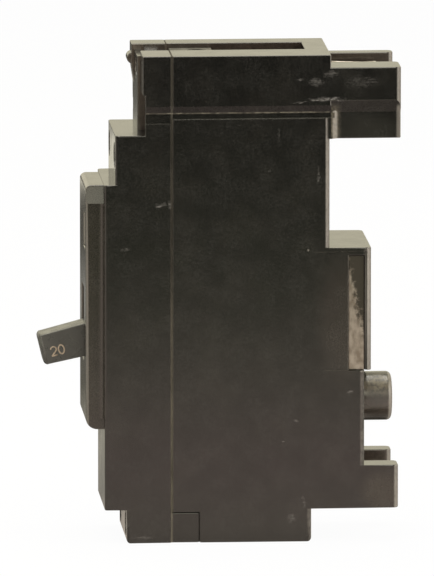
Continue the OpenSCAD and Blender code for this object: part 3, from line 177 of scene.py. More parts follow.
def reach(edge, face):
    """How far a face goes from one of its edges, square to that edge."""
    across = (edge.verts[1].co - edge.verts[0].co).cross(face.normal).normalized()
    return max(abs((vert.co - edge.verts[0].co).dot(across)) for vert in face.verts)


def folds(piece):
    """Middles of the edges at which the finished piece, cut into triangles, doubles back on itself."""
    work = bmesh.new()
    work.from_object(piece, bpy.context.evaluated_depsgraph_get())
    bmesh.ops.triangulate(work, faces=work.faces)
    middles = [(edge.verts[0].co + edge.verts[1].co) / 2 for edge in work.edges
               if edge.calc_face_angle(0.0) > math.radians(FOLD)]
    work.free()
    return np.array(middles).reshape(-1, 3)


def settle(piece, span, tries=20):
    """Halves the rounding of edges within span of a fold, short edges first, until the piece has no folds.
    The span grows by a quarter with each try."""
    mesh = piece.data
    pairs = np.empty(len(mesh.edges) * 2, np.int32)
    mesh.edges.foreach_get("vertices", pairs)
    ends = corner_points(mesh)[pairs.reshape(-1, 2)]
    along = ends[:, 1] - ends[:, 0]
    length = np.linalg.norm(along, axis=1)
    shares = np.zeros(len(mesh.edges))
    mesh.attributes[BEVEL_SHARE].data.foreach_get("value", shares)
    for attempt in range(tries):
        spots = folds(piece)
        if len(spots) == 0:
            break
        for spot in spots:
            part = np.clip(((spot - ends[:, 0]) * along).sum(1) / np.maximum(length, 1e-9) ** 2, 0, 1)
            away = np.linalg.norm(ends[:, 0] + part[:, None] * along - spot, axis=1)
            near = (away < span * (1 + attempt / 4)) & (shares > 0)
            short = near & (length < LONG_EDGE * MM)
            shares[short if short.any() else near] *= 0.5
        shares[shares < LEAST_SHARE] = 0
        mesh.attributes[BEVEL_SHARE].data.foreach_set("value", shares)
        mesh.update()
        piece.update_tag()


def rounded(node, name, radius, segments=3):
    """A copy of a CAD node with its triangles merged into flat faces. Outer edges are rounded to radius, or
    to less beside a narrow face, on the seam and where roundings would fold over. Other clear edges stay
    sharp, and so do slighter ones between wide faces."""
    work = bmesh.new()
    work.from_mesh(NODES[node].data)
    bmesh.ops.remove_doubles(work, verts=work.verts, dist=SAME_POINT * MM)
    bmesh.ops.dissolve_limit(work, angle_limit=math.radians(FLAT), verts=work.verts, edges=work.edges)
    share = work.edges.layers.float.new(BEVEL_SHARE)
    for edge in work.edges:
        angle = math.degrees(edge.calc_face_angle(0.0))
        if angle < SLIGHT:
            continue
        width = min(reach(edge, face) for face in edge.link_faces) / (FACE_ROOM * radius * MM)
        if angle >= ROUND and edge.is_convex and width >= NEARLY:
            at_seam = all(abs(vert.co.y / MM - SEAM_Y) < SEAM_NEAR for vert in edge.verts)
            edge[share] = SEAM_SHARE if at_seam else min(1.0, width)
        elif angle >= SHARP or width * FACE_ROOM * radius > WIDE_STRIP:
            edge.smooth = False
    for face in work.faces:
        face.smooth = face.calc_area() < WIDE_FACE * MM ** 2
    mesh = bpy.data.meshes.new(name)
    work.to_mesh(mesh)
    work.free()
    piece = bpy.data.objects.new(name, mesh)
    bpy.context.scene.collection.objects.link(piece)
    bevel = piece.modifiers.new("rounded_edges", "BEVEL")
    bevel.width = radius * MM
    bevel.segments = segments
    bevel.limit_method = "WEIGHT"
    bevel.use_clamp_overlap = False
    bevel.miter_outer = "MITER_ARC"
    normals = piece.modifiers.new("face_normals", "WEIGHTED_NORMAL")
    normals.weight = 100
    normals.keep_sharp = True
    settle(piece, FOLD_SPAN * radius * MM)
    return piece


def stands_for(piece, node, material):
    """The piece rides on the node's body, replaces it and takes its slot."""
    piece.data.materials.clear()
    piece.data.materials.append(material)
    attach(piece, BODY_OF[node])
    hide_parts(node)
    return piece


# Shader nodes

def linear(code):
    """Linear RGBA of an sRGB hex colour."""
    srgb = np.array([int(code[i:i + 2], 16) for i in (1, 3, 5)]) / 255
    rgb = np.where(srgb <= 0.04045, srgb / 12.92, ((srgb + 0.055) / 1.055) ** 2.4)
    return (*rgb.tolist(), 1.0)


def per_mm(size):
    """Texture scale at which one feature of a pattern on Object coordinates is size millimetres."""
    return 1 / (size * MM)


def add(tree, kind, links=None, **settings):
    """One shader node with its settings; links gives a socket or a value for each named input."""
    node = tree.nodes.new("ShaderNode" + kind)
    for key, value in settings.items():
        setattr(node, key, value)
    for key, value in (links or {}).items():
        if isinstance(value, bpy.types.NodeSocket):
            tree.links.new(value, node.inputs[key])
        else:
            node.inputs[key].default_value = value
    return node


def new_material(name, **values):
    """A material with a Principled shader, the values set on its sockets, and its Object coordinates."""
    material = bpy.data.materials.new(name)
    material.use_nodes = True
    tree = material.node_tree
    shader = tree.nodes["Principled BSDF"]
    for key, value in values.items():
        shader.inputs[key.replace("_", " ")].default_value = value
    coords = add(tree, "TexCoord").outputs["Object"]
    return material, tree, shader, coords


def dress(tree, shader, colour, rough=None, height=None, depth=0.01, strength=0.4):
    """Gives the shader its colour and, where they vary, its roughness and a relief depth millimetres deep."""
    tree.links.new(colour, shader.inputs["Base Color"])
    if rough is not None:
        tree.links.new(rough, shader.inputs["Roughness"])
    if height is not None:
        bump = add(tree, "Bump", {"Height": height, "Distance": depth * MM, "Strength": strength})
        tree.links.new(bump.outputs["Normal"], shader.inputs["Normal"])


def cloud(tree, coords, size, detail=2.0, drawn=None, turn=0.0):
    """Random cloud with features of size millimetres, drawn out along x, y and z by factors and turned about
    X."""
    if drawn is not None:
        scale = tuple(1 / factor for factor in drawn)
        drawn_out = add(tree, "Mapping", {"Vector": coords, "Scale": scale, "Rotation": (turn, 0, 0)})
        coords = drawn_out.outputs["Vector"]
    return add(tree, "TexNoise", {"Vector": coords, "Scale": per_mm(size), "Detail": detail}).outputs["Fac"]


def mask(tree, *steps):
    """The product of steps. A step is a factor, or (value, low, high) for a smooth rise from 0 at low to 1 at
    high, or (value, low, high, first, last) for one from first to last."""
    result = None
    for step in steps:
        if isinstance(step, tuple):
            ends = dict(zip(("Value", "From Min", "From Max", "To Min", "To Max"), step))
            step = add(tree, "MapRange", ends, interpolation_type="SMOOTHSTEP").outputs["Result"]
        if result is not None:
            step = add(tree, "Math", {0: result, 1: step}, operation="MULTIPLY").outputs[0]
        result = step
    return result


def past(value, limit, width):
    """A step for mask, in millimetres: 0 at limit and 1 past it by width, which may be negative."""
    return value, limit * MM, (limit + width) * MM


def strongest(tree, value, *marks):
    """The highest of a value and of marks, each (mask, amount)."""
    for where, amount in marks:
        value = add(tree, "Math", {0: value, 1: mask(tree, where, amount)}, operation="MAXIMUM").outputs[0]
    return value


def tinted(tree, colour, *layers):
    """Tints laid over a colour one after another, each (mask, tint). A colour is a socket or a hex value."""
    for where, tint in layers:
        below, above = [linear(c) if isinstance(c, str) else c for c in (colour, tint)]
        colour = add(tree, "Mix", {"Factor": where, 6: below, 7: above}, data_type="RGBA").outputs[2]
    return colour


def from_corner(tree, coords):
    """Sockets for x, y and z from mid-width, the seam and the lower end, in metres."""
    moved = add(tree, "VectorMath", {0: coords, 1: tuple(at(0, 0, 0) * MM)}, operation="SUBTRACT").outputs[0]
    place = add(tree, "SeparateXYZ", {"Vector": moved})
    return [place.outputs[axis] for axis in "XYZ"]


def warped(tree, coords, size, shift):
    """The coordinates moved at random by up to shift / 2 over features of size, both in millimetres."""
    drift = add(tree, "TexNoise", {"Vector": coords, "Scale": per_mm(size), "Detail": 3.0}).outputs["Color"]
    drift = add(tree, "VectorMath", {0: drift, 1: (0.5, 0.5, 0.5)}, operation="SUBTRACT").outputs[0]
    return add(tree, "VectorMath", {0: drift, 1: (shift * MM,) * 3, 2: coords},
               operation="MULTIPLY_ADD").outputs[0]


def edge_mask(tree, within=0.3):
    """1 on edges and 0 on flats: how far the normal turns within so many millimetres."""
    soft = add(tree, "Bevel", {"Radius": within * MM}, samples=6).outputs["Normal"]
    true = add(tree, "NewGeometry").outputs["Normal"]
    same = add(tree, "VectorMath", {0: soft, 1: true}, operation="DOT_PRODUCT").outputs["Value"]
    return mask(tree, (same, 0.995, 0.9))


def spot(tree, coords, centre, half):
    """1 at a point given as for at(), and 0 past an ellipsoid of the given half sizes, in millimetres."""
    centre = tuple(at(*centre) * MM)
    scale = tuple(per_mm(size) for size in half)
    away = add(tree, "VectorMath", {0: coords, 1: centre}, operation="SUBTRACT").outputs[0]
    away = add(tree, "VectorMath", {0: away, 1: scale}, operation="MULTIPLY").outputs[0]
    return mask(tree, (add(tree, "VectorMath", {0: away}, operation="LENGTH").outputs["Value"], 1.0, 0.3))


# Materials

# Marks on the case, placed as for at(): knocks on the near side as (y, z), half sizes, and how pale each is
SCUFFS = (((26.9, 98.8), (1.3, 0.4), 0.7), ((30.4, 98.2), (2.2, 1.1), 0.5), ((33.6, 99.9), (2.2, 0.9), 0.4),
          ((32.4, 94.6), (5.2, 0.6), 0.9), ((27.2, 94.0), (2.6, 0.3), 0.5), ((40.5, 98.2), (5.0, 1.9), 0.2),
          ((22.6, 86.6), (0.5, 2.6), 0.16), ((30.9, 78.2), (0.4, 2.3), 0.5), ((20.5, 79.3), (0.5, 0.4), 0.5),
          ((-2.3, 72.3), (1.5, 0.5), 0.8), ((-0.4, 72.4), (0.6, 1.1), 0.6), ((-9.8, 62.9), (1.5, 0.4), 0.35),
          ((-6.2, 1.2), (3.2, 0.5), 0.35), ((25.2, 4.9), (1.2, 1.4), 0.4), ((27.9, 8.5), (0.5, 2.0), 0.3),
          ((26.4, 25.9), (0.6, 0.35), 0.8), ((23.5, 21.6), (0.55, 0.3), 0.7),
          ((37.6, 31.8), (1.0, 0.35), 0.5))
SCUFF_DEPTH = 3.0
# Spots as centre and half sizes: dust with painted shade and highlight on the bolt boss, a painted highlight on
# the bulge's end, and pale patches on the sides
BOLT_BOSS = ((2.0, 44.3, 29.1), (9.0, 5.4, 8.0))
BULGE_SIDE = ((NEAR_X, 36.0, 48.0), (3.0, 7.0, 18.0))
BULGE_END = ((NEAR_X, 42.0, 53.0), (3.0, 4.0, 16.0))
HOOK_SIDE = ((NEAR_X, 41.5, 87.5), (4.0, 9.0, 5.5))
FOOT_SIDE = ((NEAR_X, 44.5, 10.5), (3.0, 6.0, 6.0))
FAR_LUG = ((-8.0, 44.5, 12.6), (6.0, 4.0, 1.8))
# Limits along y, from the front to the rear
SURROUND_FRONT, SURROUND_ROOT, RECESS_FRONT, REAR_EDGES = -17.0, -13.9, -4.6, 12.0
CORNER_MARK_Y, BLOCK_REAR = (33.5, 36.2), 33.6
BULGE_REAR, BOSS_ROOT, BOSS_WALL, HOOK_TIP = 40.2, 40.9, 42.5, 47.3
# Limits along z, from the lower end to the top
SEAM_DUST_Z, BOSS_WALL_TOP = (15.0, 75.0), 36.4
HOOK_Z, CORNER_MARK_Z, RECESS_FOOT, BLOCK_FOOT = (80.0, 93.6), (84.0, 94.0), 87.0, 91.6
# Limits along x: the far lug and hook lie short of INNER_X, the recess at least RECESS_IN behind the near
# wall, and the block's lip within LIP_IN of it
INNER_X, RECESS_IN, LIP_IN = 7.0, 0.5, 0.6


def phenolic():
    """Phenolic moulding compound, compression moulded: near black with a brown cast and a glossy skin over a
    filler grain, which is drawn coarser than life so that it shows. Rubbed on its edges, with painted highlights
    on the rounded rear edges, the surround's front edge, the block's lower lip and the corner behind the block;
    dusty on the bolt boss with painted shade below it, and in the seam; knocked where it was handled."""
    material, tree, shader, coords = new_material("phenolic_moulded", IOR=1.68)
    x, y, z = from_corner(tree, coords)
    facing = add(tree, "SeparateXYZ", {"Vector": add(tree, "NewGeometry").outputs["Normal"]})
    to_side, to_rear, to_top = [facing.outputs[axis] for axis in "XYZ"]
    grain = cloud(tree, coords, 0.26)
    mottle = cloud(tree, coords, 0.8, 4)
    film = mask(tree, (cloud(tree, coords, 7, 5), 0.42, 0.72), (mottle, 0.3, 0.7, 0.6, 1.0))
    clouded = mask(tree, (cloud(tree, coords, 0.42, 1), 0.3, 0.75),
                   (cloud(tree, coords, 3.4), 0.34, 0.66, 0.2, 1.0))

    # Knocks are broken into flecks and streaks, and specks of dust lie in some of the cells of a loose net
    fleck = cloud(tree, coords, 0.34, 4, (2, 1.6, 1), math.radians(20))
    streak = cloud(tree, coords, 0.3, 3, (2, 9, 1), math.radians(6))
    wander = warped(tree, coords, 1.3, 1.5)
    knocks = strongest(tree, 0.0, *[(spot(tree, wander, (NEAR_X, *middle), (SCUFF_DEPTH, *half)), pale)
                                    for middle, half, pale in SCUFFS])
    scuff = mask(tree, (fleck, 0.38, 0.62, 0.3, 1.0), (streak, 0.38, 0.6, 0.35, 1.0), knocks)
    cell = add(tree, "TexVoronoi", {"Vector": coords, "Scale": per_mm(8), "Randomness": 1.0})
    speck = mask(tree, (cell.outputs["Distance"], 0.04, 0.012), (cloud(tree, coords, 16), 0.5, 0.6))

    # Edges: rubbed all round, with painted highlights on the rounded rear edges, except beside the boss, and on
    # the front edge of the surround
    rubbed = mask(tree, edge_mask(tree), (cloud(tree, coords, 2.5, 4), 0.35, 0.7, 0.1, 0.5))
    by_boss = mask(tree, past(z, BOSS_WALL_TOP, -0.5), past(y, BOSS_WALL, -0.5),
                   (cloud(tree, coords, 1.6, 4), 0.3, 0.7, 0.8, 0.5))
    # Painted highlight: a pale band on rounded edges that turn to the rear
    rear_edge_highlight = mask(tree, past(y, REAR_EDGES, 1), (to_rear, 0.1, 0.42), (to_rear, 0.995, 0.93),
                     (mottle, 0.2, 0.6, 0.7, 1.0),
                     add(tree, "Math", {0: 1.0, 1: by_boss}, operation="SUBTRACT").outputs[0])
    # Painted highlight along the surround's rounded front edge
    front_edge_highlight = mask(tree, past(y, SURROUND_FRONT, -0.5), (to_rear, -0.1, -0.4), (to_rear, -0.995, -0.93))

    # The bolt boss is dusty: paler on top as dust with a painted highlight, and darker below as painted shade,
    # through a weaker tint and a lower specular level. Dust lies in the seam, more of it low down
    on_boss = mask(tree, spot(tree, coords, *BOLT_BOSS), past(y, BOSS_ROOT, 0.2))
    boss = mask(tree, on_boss, (to_top, -0.6, -0.1, 0.25, 1.0))
    boss_top_dust_and_highlight = mask(tree, boss, (to_top, 0.05, 0.7), (mottle, 0.25, 0.7))
    boss_foot_shade = mask(tree, on_boss, (to_top, -0.15, -0.5))
    from_seam = add(tree, "Math", {0: y}, operation="ABSOLUTE").outputs[0]
    seam = mask(tree, past(from_seam, 0.36, -0.28), (cloud(tree, coords, 9, 3), 0.35, 0.65, 0.6, 1.0))
    seam_dust = mask(tree, seam, (z, SEAM_DUST_Z[1] * MM, SEAM_DUST_Z[0] * MM, 0.15, 0.4))

    # Marks on the sides, mostly on faces that look to the near side: pale patches, lighter inner walls and recess,
    # painted highlights on the bulge's rear end, the hook's tip, the block's lower lip and the corner behind the
    # block, which is scuffed too, and painted shade under the block
    bulge_side, hook_side, foot_side = [spot(tree, coords, *place)
                                        for place in (BULGE_SIDE, HOOK_SIDE, FOOT_SIDE)]
    near_side = mask(tree, (to_side, 0.5, 0.9))
    forward = mask(tree, past(y, SURROUND_ROOT, -0.5))
    # Painted highlight on the bulge's rounded rear end
    bulge_end_highlight = mask(tree, near_side, past(y, BULGE_REAR, 1.2), spot(tree, coords, *BULGE_END))
    # Painted highlight on the hook's rounded tip
    hook_tip_highlight = mask(tree, near_side, past(y, HOOK_TIP, 0.5), past(z, HOOK_Z[0], 1), past(z, HOOK_Z[1], -1))
    inner = mask(tree, near_side, past(x, INNER_X, -2), (mottle, 0.2, 0.7, 0.6, 1.0))
    lug_side = mask(tree, inner, spot(tree, coords, *FAR_LUG))
    # Pale strip in the corner behind the block: painted highlight on its fillet, with whitish scuffs
    corner_highlight_and_scuffs = mask(tree, past(y, CORNER_MARK_Y[0], 0.3), past(y, CORNER_MARK_Y[1], -2.1), past(z, CORNER_MARK_Z[0], 1),
                 past(z, CORNER_MARK_Z[1], -2), (mottle, 0.3, 0.65, 0.3, 1.0))
    # Painted highlight: a thin bright line along the block's lower lip
    lip_highlight = mask(tree, near_side, past(z, BLOCK_FOOT - 0.2, 0.1), past(z, BLOCK_FOOT + 0.45, -0.25),
               past(y, BLOCK_REAR, -0.6), past(x, NEAR_X - LIP_IN, 0.3),
               (cloud(tree, coords, 1.2, 4), 0.35, 0.65, 0.2, 1.0))
    recess = mask(tree, near_side, past(x, NEAR_X - RECESS_IN, -0.3), past(y, RECESS_FRONT, -0.3),
                  past(z, RECESS_FOOT, 1))
    # Painted shade: a lower specular level on faces that look down, under the block
    under = mask(tree, (to_top, -0.12, -0.3), past(z, BLOCK_FOOT - 3, 1))

    colour = tinted(tree, "#0c0c0b", (mask(tree, (grain, 0.3, 0.7)), "#1b1917"))
    for where, amount, tint in (
            (film, 0.02, "#8f8677"), (clouded, 0.04, "#8c8a86"), (bulge_side, 0.04, "#a08a7c"),
            (inner, 0.15, "#a08c7c"), (recess, 0.14, "#a59686"), (front_edge_highlight, 0.26, "#b2aca1"),
            (foot_side, 0.06, "#a2937c"), (forward, 0.045, "#a2937c"), (hook_tip_highlight, 0.35, "#aca49a"),
            (bulge_end_highlight, 0.3, "#aca49a"), (hook_side, 0.035, "#9a9686"), (boss, 0.24, "#62625f"),
            (boss_top_dust_and_highlight, 0.42, "#bdb191"), (seam_dust, 1.0, "#aea491"), (rubbed, 0.3, "#8f8778"),
            (rear_edge_highlight, 0.45, "#aca49a"), (corner_highlight_and_scuffs, 0.3, "#b3a893"), (lip_highlight, 0.3, "#b8b09c"),
            (lug_side, 0.4, "#c2b8a6"), (scuff, 0.5, "#a5a09b"), (speck, 0.3, "#b5aea2")):
        colour = tinted(tree, colour, (mask(tree, where, amount), tint))
    skin = mask(tree, (cloud(tree, coords, 5, 4), 0.3, 0.7, 0.13, 0.19))
    rough = strongest(tree, skin, (scuff, 0.6), (rear_edge_highlight, 0.45), (boss, 0.45), (seam, 0.6))
    dull = strongest(tree, 0.0, (seam, 0.8), (under, 0.6), (boss_foot_shade, 0.8))
    tree.links.new(mask(tree, (dull, 0.0, 1.0, 0.5, 0.0)), shader.inputs["Specular IOR Level"])
    dress(tree, shader, colour, rough, cloud(tree, coords, 0.45, 3), 0.01, 0.5)
    return material


def moulded(name, dark, pale, rough, grain, ior=1.5):
    """Moulded or dipped plastic: one colour with a slight cloud, a fine grain and edges rubbed smooth."""
    material, tree, shader, coords = new_material(name, IOR=ior)
    rubbed = mask(tree, edge_mask(tree), 0.25)
    colour = tinted(tree, dark, (cloud(tree, coords, 4, 3), pale), (rubbed, "#8d8a84"))
    skin = mask(tree, (cloud(tree, coords, 2, 3), 0.3, 0.7, rough - 0.06, rough + 0.08))
    dress(tree, shader, colour, skin, cloud(tree, coords, grain), 0.01, 0.4)
    return material


def metal(name, bright, dull, rough, lay=(1, 1, 1), line=0.12, tarnish=0.4):
    """Rolled, drawn or plated metal: bright skin with lines along its working direction and duller clouds."""
    material, tree, shader, coords = new_material(name, Metallic=1.0)
    lines = cloud(tree, coords, line, 3, lay)
    tarnished = mask(tree, (cloud(tree, coords, 2.6, 4), 0.42, 0.68, 0.0, tarnish))
    skin = mask(tree, (lines, 0.3, 0.7, rough - 0.07, rough + 0.1))
    dress(tree, shader, tinted(tree, bright, (tarnished, dull)), skin, lines, 0.006, 0.4)
    return material


# The strap's side leaf from front to rear and from top to foot, and how far above it the darker grey ends
LEAF_Y, LEAF_Z, DARK_RISE = (37.9, 40.7), (58.4, 45.2), 12.0


def dark_topped_strap():
    """Tin-plated copper strap: pale with a warm cast, and darker grey above a ragged slanting front on its
    side leaf, towards the leaf's upper rear."""
    material, tree, shader, coords = new_material("copper_tin_plated_darkened", Metallic=1.0)
    y, z = from_corner(tree, coords)[1:]
    across, down = [add(tree, "MapRange", {"Value": value, "From Min": first * MM, "From Max": last * MM},
                        clamp=False).outputs["Result"] for value, first, last in ((y, *LEAF_Y), (z, *LEAF_Z))]
    front = add(tree, "Math", {0: across, 1: down}, operation="SUBTRACT").outputs[0]
    ragged = mask(tree, (cloud(tree, coords, 0.9, 6), 0.3, 0.7, -0.25, 0.25))
    front = add(tree, "Math", {0: front, 1: ragged}, operation="ADD").outputs[0]
    # Darker grey above a ragged slanting front, towards the leaf's upper rear
    darkened = mask(tree, (front, -0.4, 0.12), past(z, LEAF_Z[0] + DARK_RISE, -2))
    stained = mask(tree, (cloud(tree, coords, 1.4, 5, (1, 1, 1.8)), 0.34, 0.66))
    lines = cloud(tree, coords, 0.15, 3, (1, 1, 12))
    rough = strongest(tree, mask(tree, (lines, 0.3, 0.7, 0.3, 0.42)), (darkened, 0.5))
    colour = tinted(tree, "#cfc9bf", (stained, "#a1988c"), (darkened, "#57554e"))
    dress(tree, shader, colour, rough, lines, 0.008, 0.5)
    return material


def fibre():
    """Vulcanised fibre sheet: grey-tan, matt, with short pressed fibres lying along the sheet."""
    material, tree, shader, coords = new_material("vulcanised_fibre", IOR=1.5, Roughness=0.75)
    strands = cloud(tree, coords, 0.4, 4, (1, 4, 9))
    dress(tree, shader, tinted(tree, "#7d6346", (strands, "#a98e68")), None, strands, 0.03, 0.5)
    return material


def laminate():
    """Glass laminate with green solder mask: copper runs show paler through it as a net of straight lines."""
    material, tree, shader, coords = new_material("glass_laminate_solder_mask", IOR=1.55, Roughness=0.3)
    turned = add(tree, "Mapping", {"Vector": coords, "Rotation": (0, math.radians(90), 0)}).outputs["Vector"]
    runs = add(tree, "TexBrick", {"Vector": turned, "Scale": per_mm(4), "Mortar Size": 0.06}).outputs["Fac"]
    dress(tree, shader, tinted(tree, "#1f4a2b", (runs, "#3b7045")), None, runs, 0.03, 0.5)
    return material


# The finish of each of the record's slots
FINISHES = {
    "moulded_phenolic": phenolic(),
    # Dark grey with a soft sheen, greyer where fingers rub the edges
    "handle_plastic": moulded("nylon_moulded_black", "#454541", "#51504b", 0.3, 0.3, ior=1.62),
    # Flat warm grey that stands out from the case
    "button_plastic": moulded("urea_moulded_grey", "#6e6a61", "#7b766c", 0.45, 0.35),
    "fibre_board": fibre(),
    # Bluish white and slightly clouded
    "zinc_steel": metal("steel_zinc_plated", "#c9cbcb", "#8d8f90", 0.26),
    # Grey, with the strip's rolling lines up the piece
    "plain_steel": metal("steel_cold_rolled", "#a8a6a2", "#6f6b66", 0.34, (1, 1, 8)),
    # Dark grey with bright drawing lines
    "spring_steel": metal("music_wire_drawn", "#8f9294", "#5f6264", 0.25, (1, 1, 6)),
    # Salmon with brown clouds
    "bare_copper": metal("copper_half_hard", "#c98a62", "#86553a", 0.3, (1, 8, 1)),
    "tinned_copper": dark_topped_strap(),
    # White and bright
    "silver_alloy": metal("silver_cadmium_contact", "#dedcd6", "#a5a29a", 0.3),
    # Yellow, with rolling lines across the breaker
    "brass_plate": metal("brass_pressed", "#cfae67", "#8f7642", 0.28, (8, 1, 1)),
    # Straw colour, with fine lines up the strip
    "bimetal_strip": metal("bimetal_rolled", "#bfae8d", "#857760", 0.32, (1, 1, 10)),
    # Dull dark grey nearly all over: painted shade, so that the lug stays dark in its channel
    "lug_aluminium": metal("aluminium_tin_plated", "#6e6c67", "#4c4a46", 0.55, (1, 10, 1), tarnish=0.7),
    "circuit_laminate": laminate(),
    # Flat black
    "chip_plastic": moulded("epoxy_moulded_black", "#1c1c1e", "#242426", 0.55, 0.2),
    # Glossy coats that ran while they set, hence a coarse grain
    "capacitor_film": moulded("epoxy_dipped_blue", "#24406f", "#2d4c80", 0.25, 0.8),
    "varistor_coat": moulded("epoxy_dipped_orange", "#a4541f", "#b9652a", 0.3, 0.8),
    # Matt tan
    "resistor_coat": moulded("lacquer_tan", "#a58f6d", "#b8a27f", 0.5, 0.5),
    # Charcoal, matt as fired
    "ferrite": moulded("ferrite_sintered", "#36332f", "#423e39", 0.6, 0.25),
    # Reddish brown under clear enamel
    "enamelled_wire": metal("copper_wire_enamelled", "#b0602f", "#77391c", 0.3),
    # Milky white with a satin skin
    "bobbin_nylon": moulded("nylon_moulded_natural", "#cfc8b6", "#dcd6c6", 0.45, 0.4),
    # White and slightly soft to look at
    "lead_insulation": moulded("vinyl_extruded_white", "#d5d3cc", "#e2e0da", 0.4, 0.6),
}


def marking_foil():
    """Hot-stamped foil on the handle's number: pale tan, slightly worn through."""
    material, tree, shader, coords = new_material("foil_hot_stamped_tan", IOR=1.5, Roughness=0.55)
    worn = mask(tree, (cloud(tree, coords, 0.35, 3), 0.58, 0.72))
    dress(tree, shader, tinted(tree, "#b29f89", (worn, "#6c675b")))
    return material


# Every CAD node takes its slot's finish
for node, cad in NODES.items():
    cad.data.materials.clear()
    cad.data.materials.append(FINISHES[SLOT_OF[node]])


# Pieces that show: each CAD form with its edges rounded as moulded, pressed or turned
ROUNDED = {
    "rear_base": ("rear_base_moulding", 0.22), "front_cover": ("front_cover_moulding", 0.22),
    "handle": ("handle_moulding", 0.35), "test_button": ("test_button_cap", 0.3),
    "line_strap": ("line_strap_pressing", 0.12), "neutral_clip": ("neutral_clip_pressing", 0.12),
    "load_lug": ("load_lug_block", 0.25), "load_strap": ("load_strap_pressing", 0.15),
    "load_screw": ("load_screw_turned", 0.18), "neutral_screw": ("neutral_screw_turned", 0.15),
    "neutral_clamp": ("neutral_clamp_washer", 0.12), "neutral_plate": ("neutral_plate_pressing", 0.12),
    "case_screws": ("case_screws_turned", 0.15),
}
shown = {node: stands_for(rounded(node, name, radius), node, FINISHES[SLOT_OF[node]])
         for node, (name, radius) in ROUNDED.items()}


# Gaps round the strap's side leaf as (low y, high y, low z, high z), and how near its face a point of it lies
WINDOW_GAPS, OUTER_NEAR = (0.24, 0.14, 0.24, 0.14), 0.01


def flare(piece, gaps):
    """Widens the piece's outermost face in X by gaps (low y, high y, low z, high z), in millimetres."""
    corners = corner_points(piece.data)
    outer = corners[:, 0] > corners[:, 0].max() - OUTER_NEAR * MM
    face = corners[outer, 1:]
    low, high = face.min(0), face.max(0)
    share = (face - low) / (high - low)
    gaps = np.array(gaps).reshape(2, 2) * MM
    corners[outer, 1:] = face - (1 - share) * gaps[:, 0] + share * gaps[:, 1]
    piece.data.vertices.foreach_set("co", corners.ravel())


# The strap's side leaf closes on the edges of its window
flare(shown["line_strap"], WINDOW_GAPS)


# Wound and soft pieces, true to their routes in the CAD frame

def spring(node, name, start, end, radius, wire, turns):
    """A coil spring of round wire from start to end."""
    path, axis = helix(start, end, radius, turns)
    return stands_for(to_mesh(name, *swept(path, wire / 2, wire / 2, axis)), node, FINISHES["spring_steel"])


def lead(node, name, corners, bend, radius):
    """A formed conductor along its route, with eased bends."""
    path = eased([at(*corner) for corner in corners], bend)
    piece = to_mesh(name, *swept(path, radius, radius, (1, 0, 0), 16))
    return stands_for(piece, node, FINISHES[SLOT_OF[node]])


def layer_coil(node, name, wire, inner, steps=48, arc=4):
    """Wire laid turn by turn about Z within the node's box: the profile r = R - w/2 + w/2·sin a and
    z = (k + a/π)·w for each turn k and a from 0 to π, closed by a straight inner wall and turned about the
    axis."""
    low, high = [np.array(c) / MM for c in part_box(node)]
    outer, count = (high[0] - low[0]) / 2, int((high[2] - low[2]) / wire)
    a = np.linspace(0, np.pi, arc, endpoint=False)
    k = np.arange(count)[:, None]
    profile = np.stack([np.broadcast_to(outer - wire / 2 + wire / 2 * np.sin(a), (count, arc)).ravel(),
                        (low[2] + (k + a / np.pi) * (high[2] - low[2]) / count).ravel()], 1)
    profile = np.vstack([[inner, low[2]], profile, [outer - wire / 2, high[2]], [inner, high[2]]])
    turn = np.linspace(0, 2 * np.pi, steps, endpoint=False)
    points = np.stack([(low[0] + high[0]) / 2 + profile[:, :1] * np.cos(turn),
                       (low[1] + high[1]) / 2 + profile[:, :1] * np.sin(turn),
                       np.broadcast_to(profile[:, 1:], (len(profile), steps))], -1)
    piece = to_mesh(name, points, ring_faces(len(profile), steps, True))
    return stands_for(piece, node, FINISHES[SLOT_OF[node]])


def ring_coil(node, name, wire, hole, turns, steps=28, power=0.4):
    """Wire wound round a ring about Y within the node's box: at turn angle t the point stands at radius
    R + a·C(n·t) and depth b·S(n·t), where C and S are cos and sin raised to power with their signs kept, so
    that the turns are nearly square."""
    low, high = [np.array(c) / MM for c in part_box(node)]
    middle, outer = (low + high) / 2, (high[0] - low[0]) / 2
    t = np.linspace(0, 2 * np.pi, turns * steps, endpoint=False)
    square = [np.sign(f) * np.abs(f) ** power for f in (np.cos(turns * t), np.sin(turns * t))]
    radius = (outer + hole) / 2 + ((outer - hole) / 2 - wire / 2) * square[0]
    depth = ((high[1] - low[1]) / 2 - wire / 2) * square[1]
    path = middle + np.stack([radius * np.cos(t), depth, radius * np.sin(t)], 1)
    along = np.stack([-np.sin(t), np.zeros_like(t), np.cos(t)], 1)
    piece = to_mesh(name, *swept(path, wire / 2, wire / 2, along, 6, True))
    return stands_for(piece, node, FINISHES[SLOT_OF[node]])


# The toggle spring runs between the pins of the cradle and the arm, less TOGGLE_HOOK at each end
TOGGLE_X, TOGGLE_HOOK = 1.6, 1.2
toggle_low = at(TOGGLE_X, 19.93, 46.59)
toggle_high = at(TOGGLE_X, 15.0, 65.6)
toggle_end = TOGGLE_HOOK * (toggle_high - toggle_low) / np.linalg.norm(toggle_high - toggle_low)
spring("toggle_spring", "toggle_spring_wound", toggle_low + toggle_end, toggle_high - toggle_end,
       radius=1.05, wire=0.7, turns=8)

# The plunger's return spring fills its node's box, and is pressed to RETURN_KEEP of its length by the stroke
RETURN_WIRE, RETURN_KEEP = 0.45, 0.37
return_low, return_high = [np.array(c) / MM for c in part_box("plunger_spring")]
return_axis = (return_low + return_high)[:2] / 2
return_foot = [*return_axis, return_low[2] + RETURN_WIRE / 2]
return_head = [*return_axis, return_high[2] - RETURN_WIRE / 2]
return_spring = spring("plunger_spring", "plunger_spring_wound", return_foot, return_head,
                       radius=2.6, wire=RETURN_WIRE, turns=4)
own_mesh(return_spring)

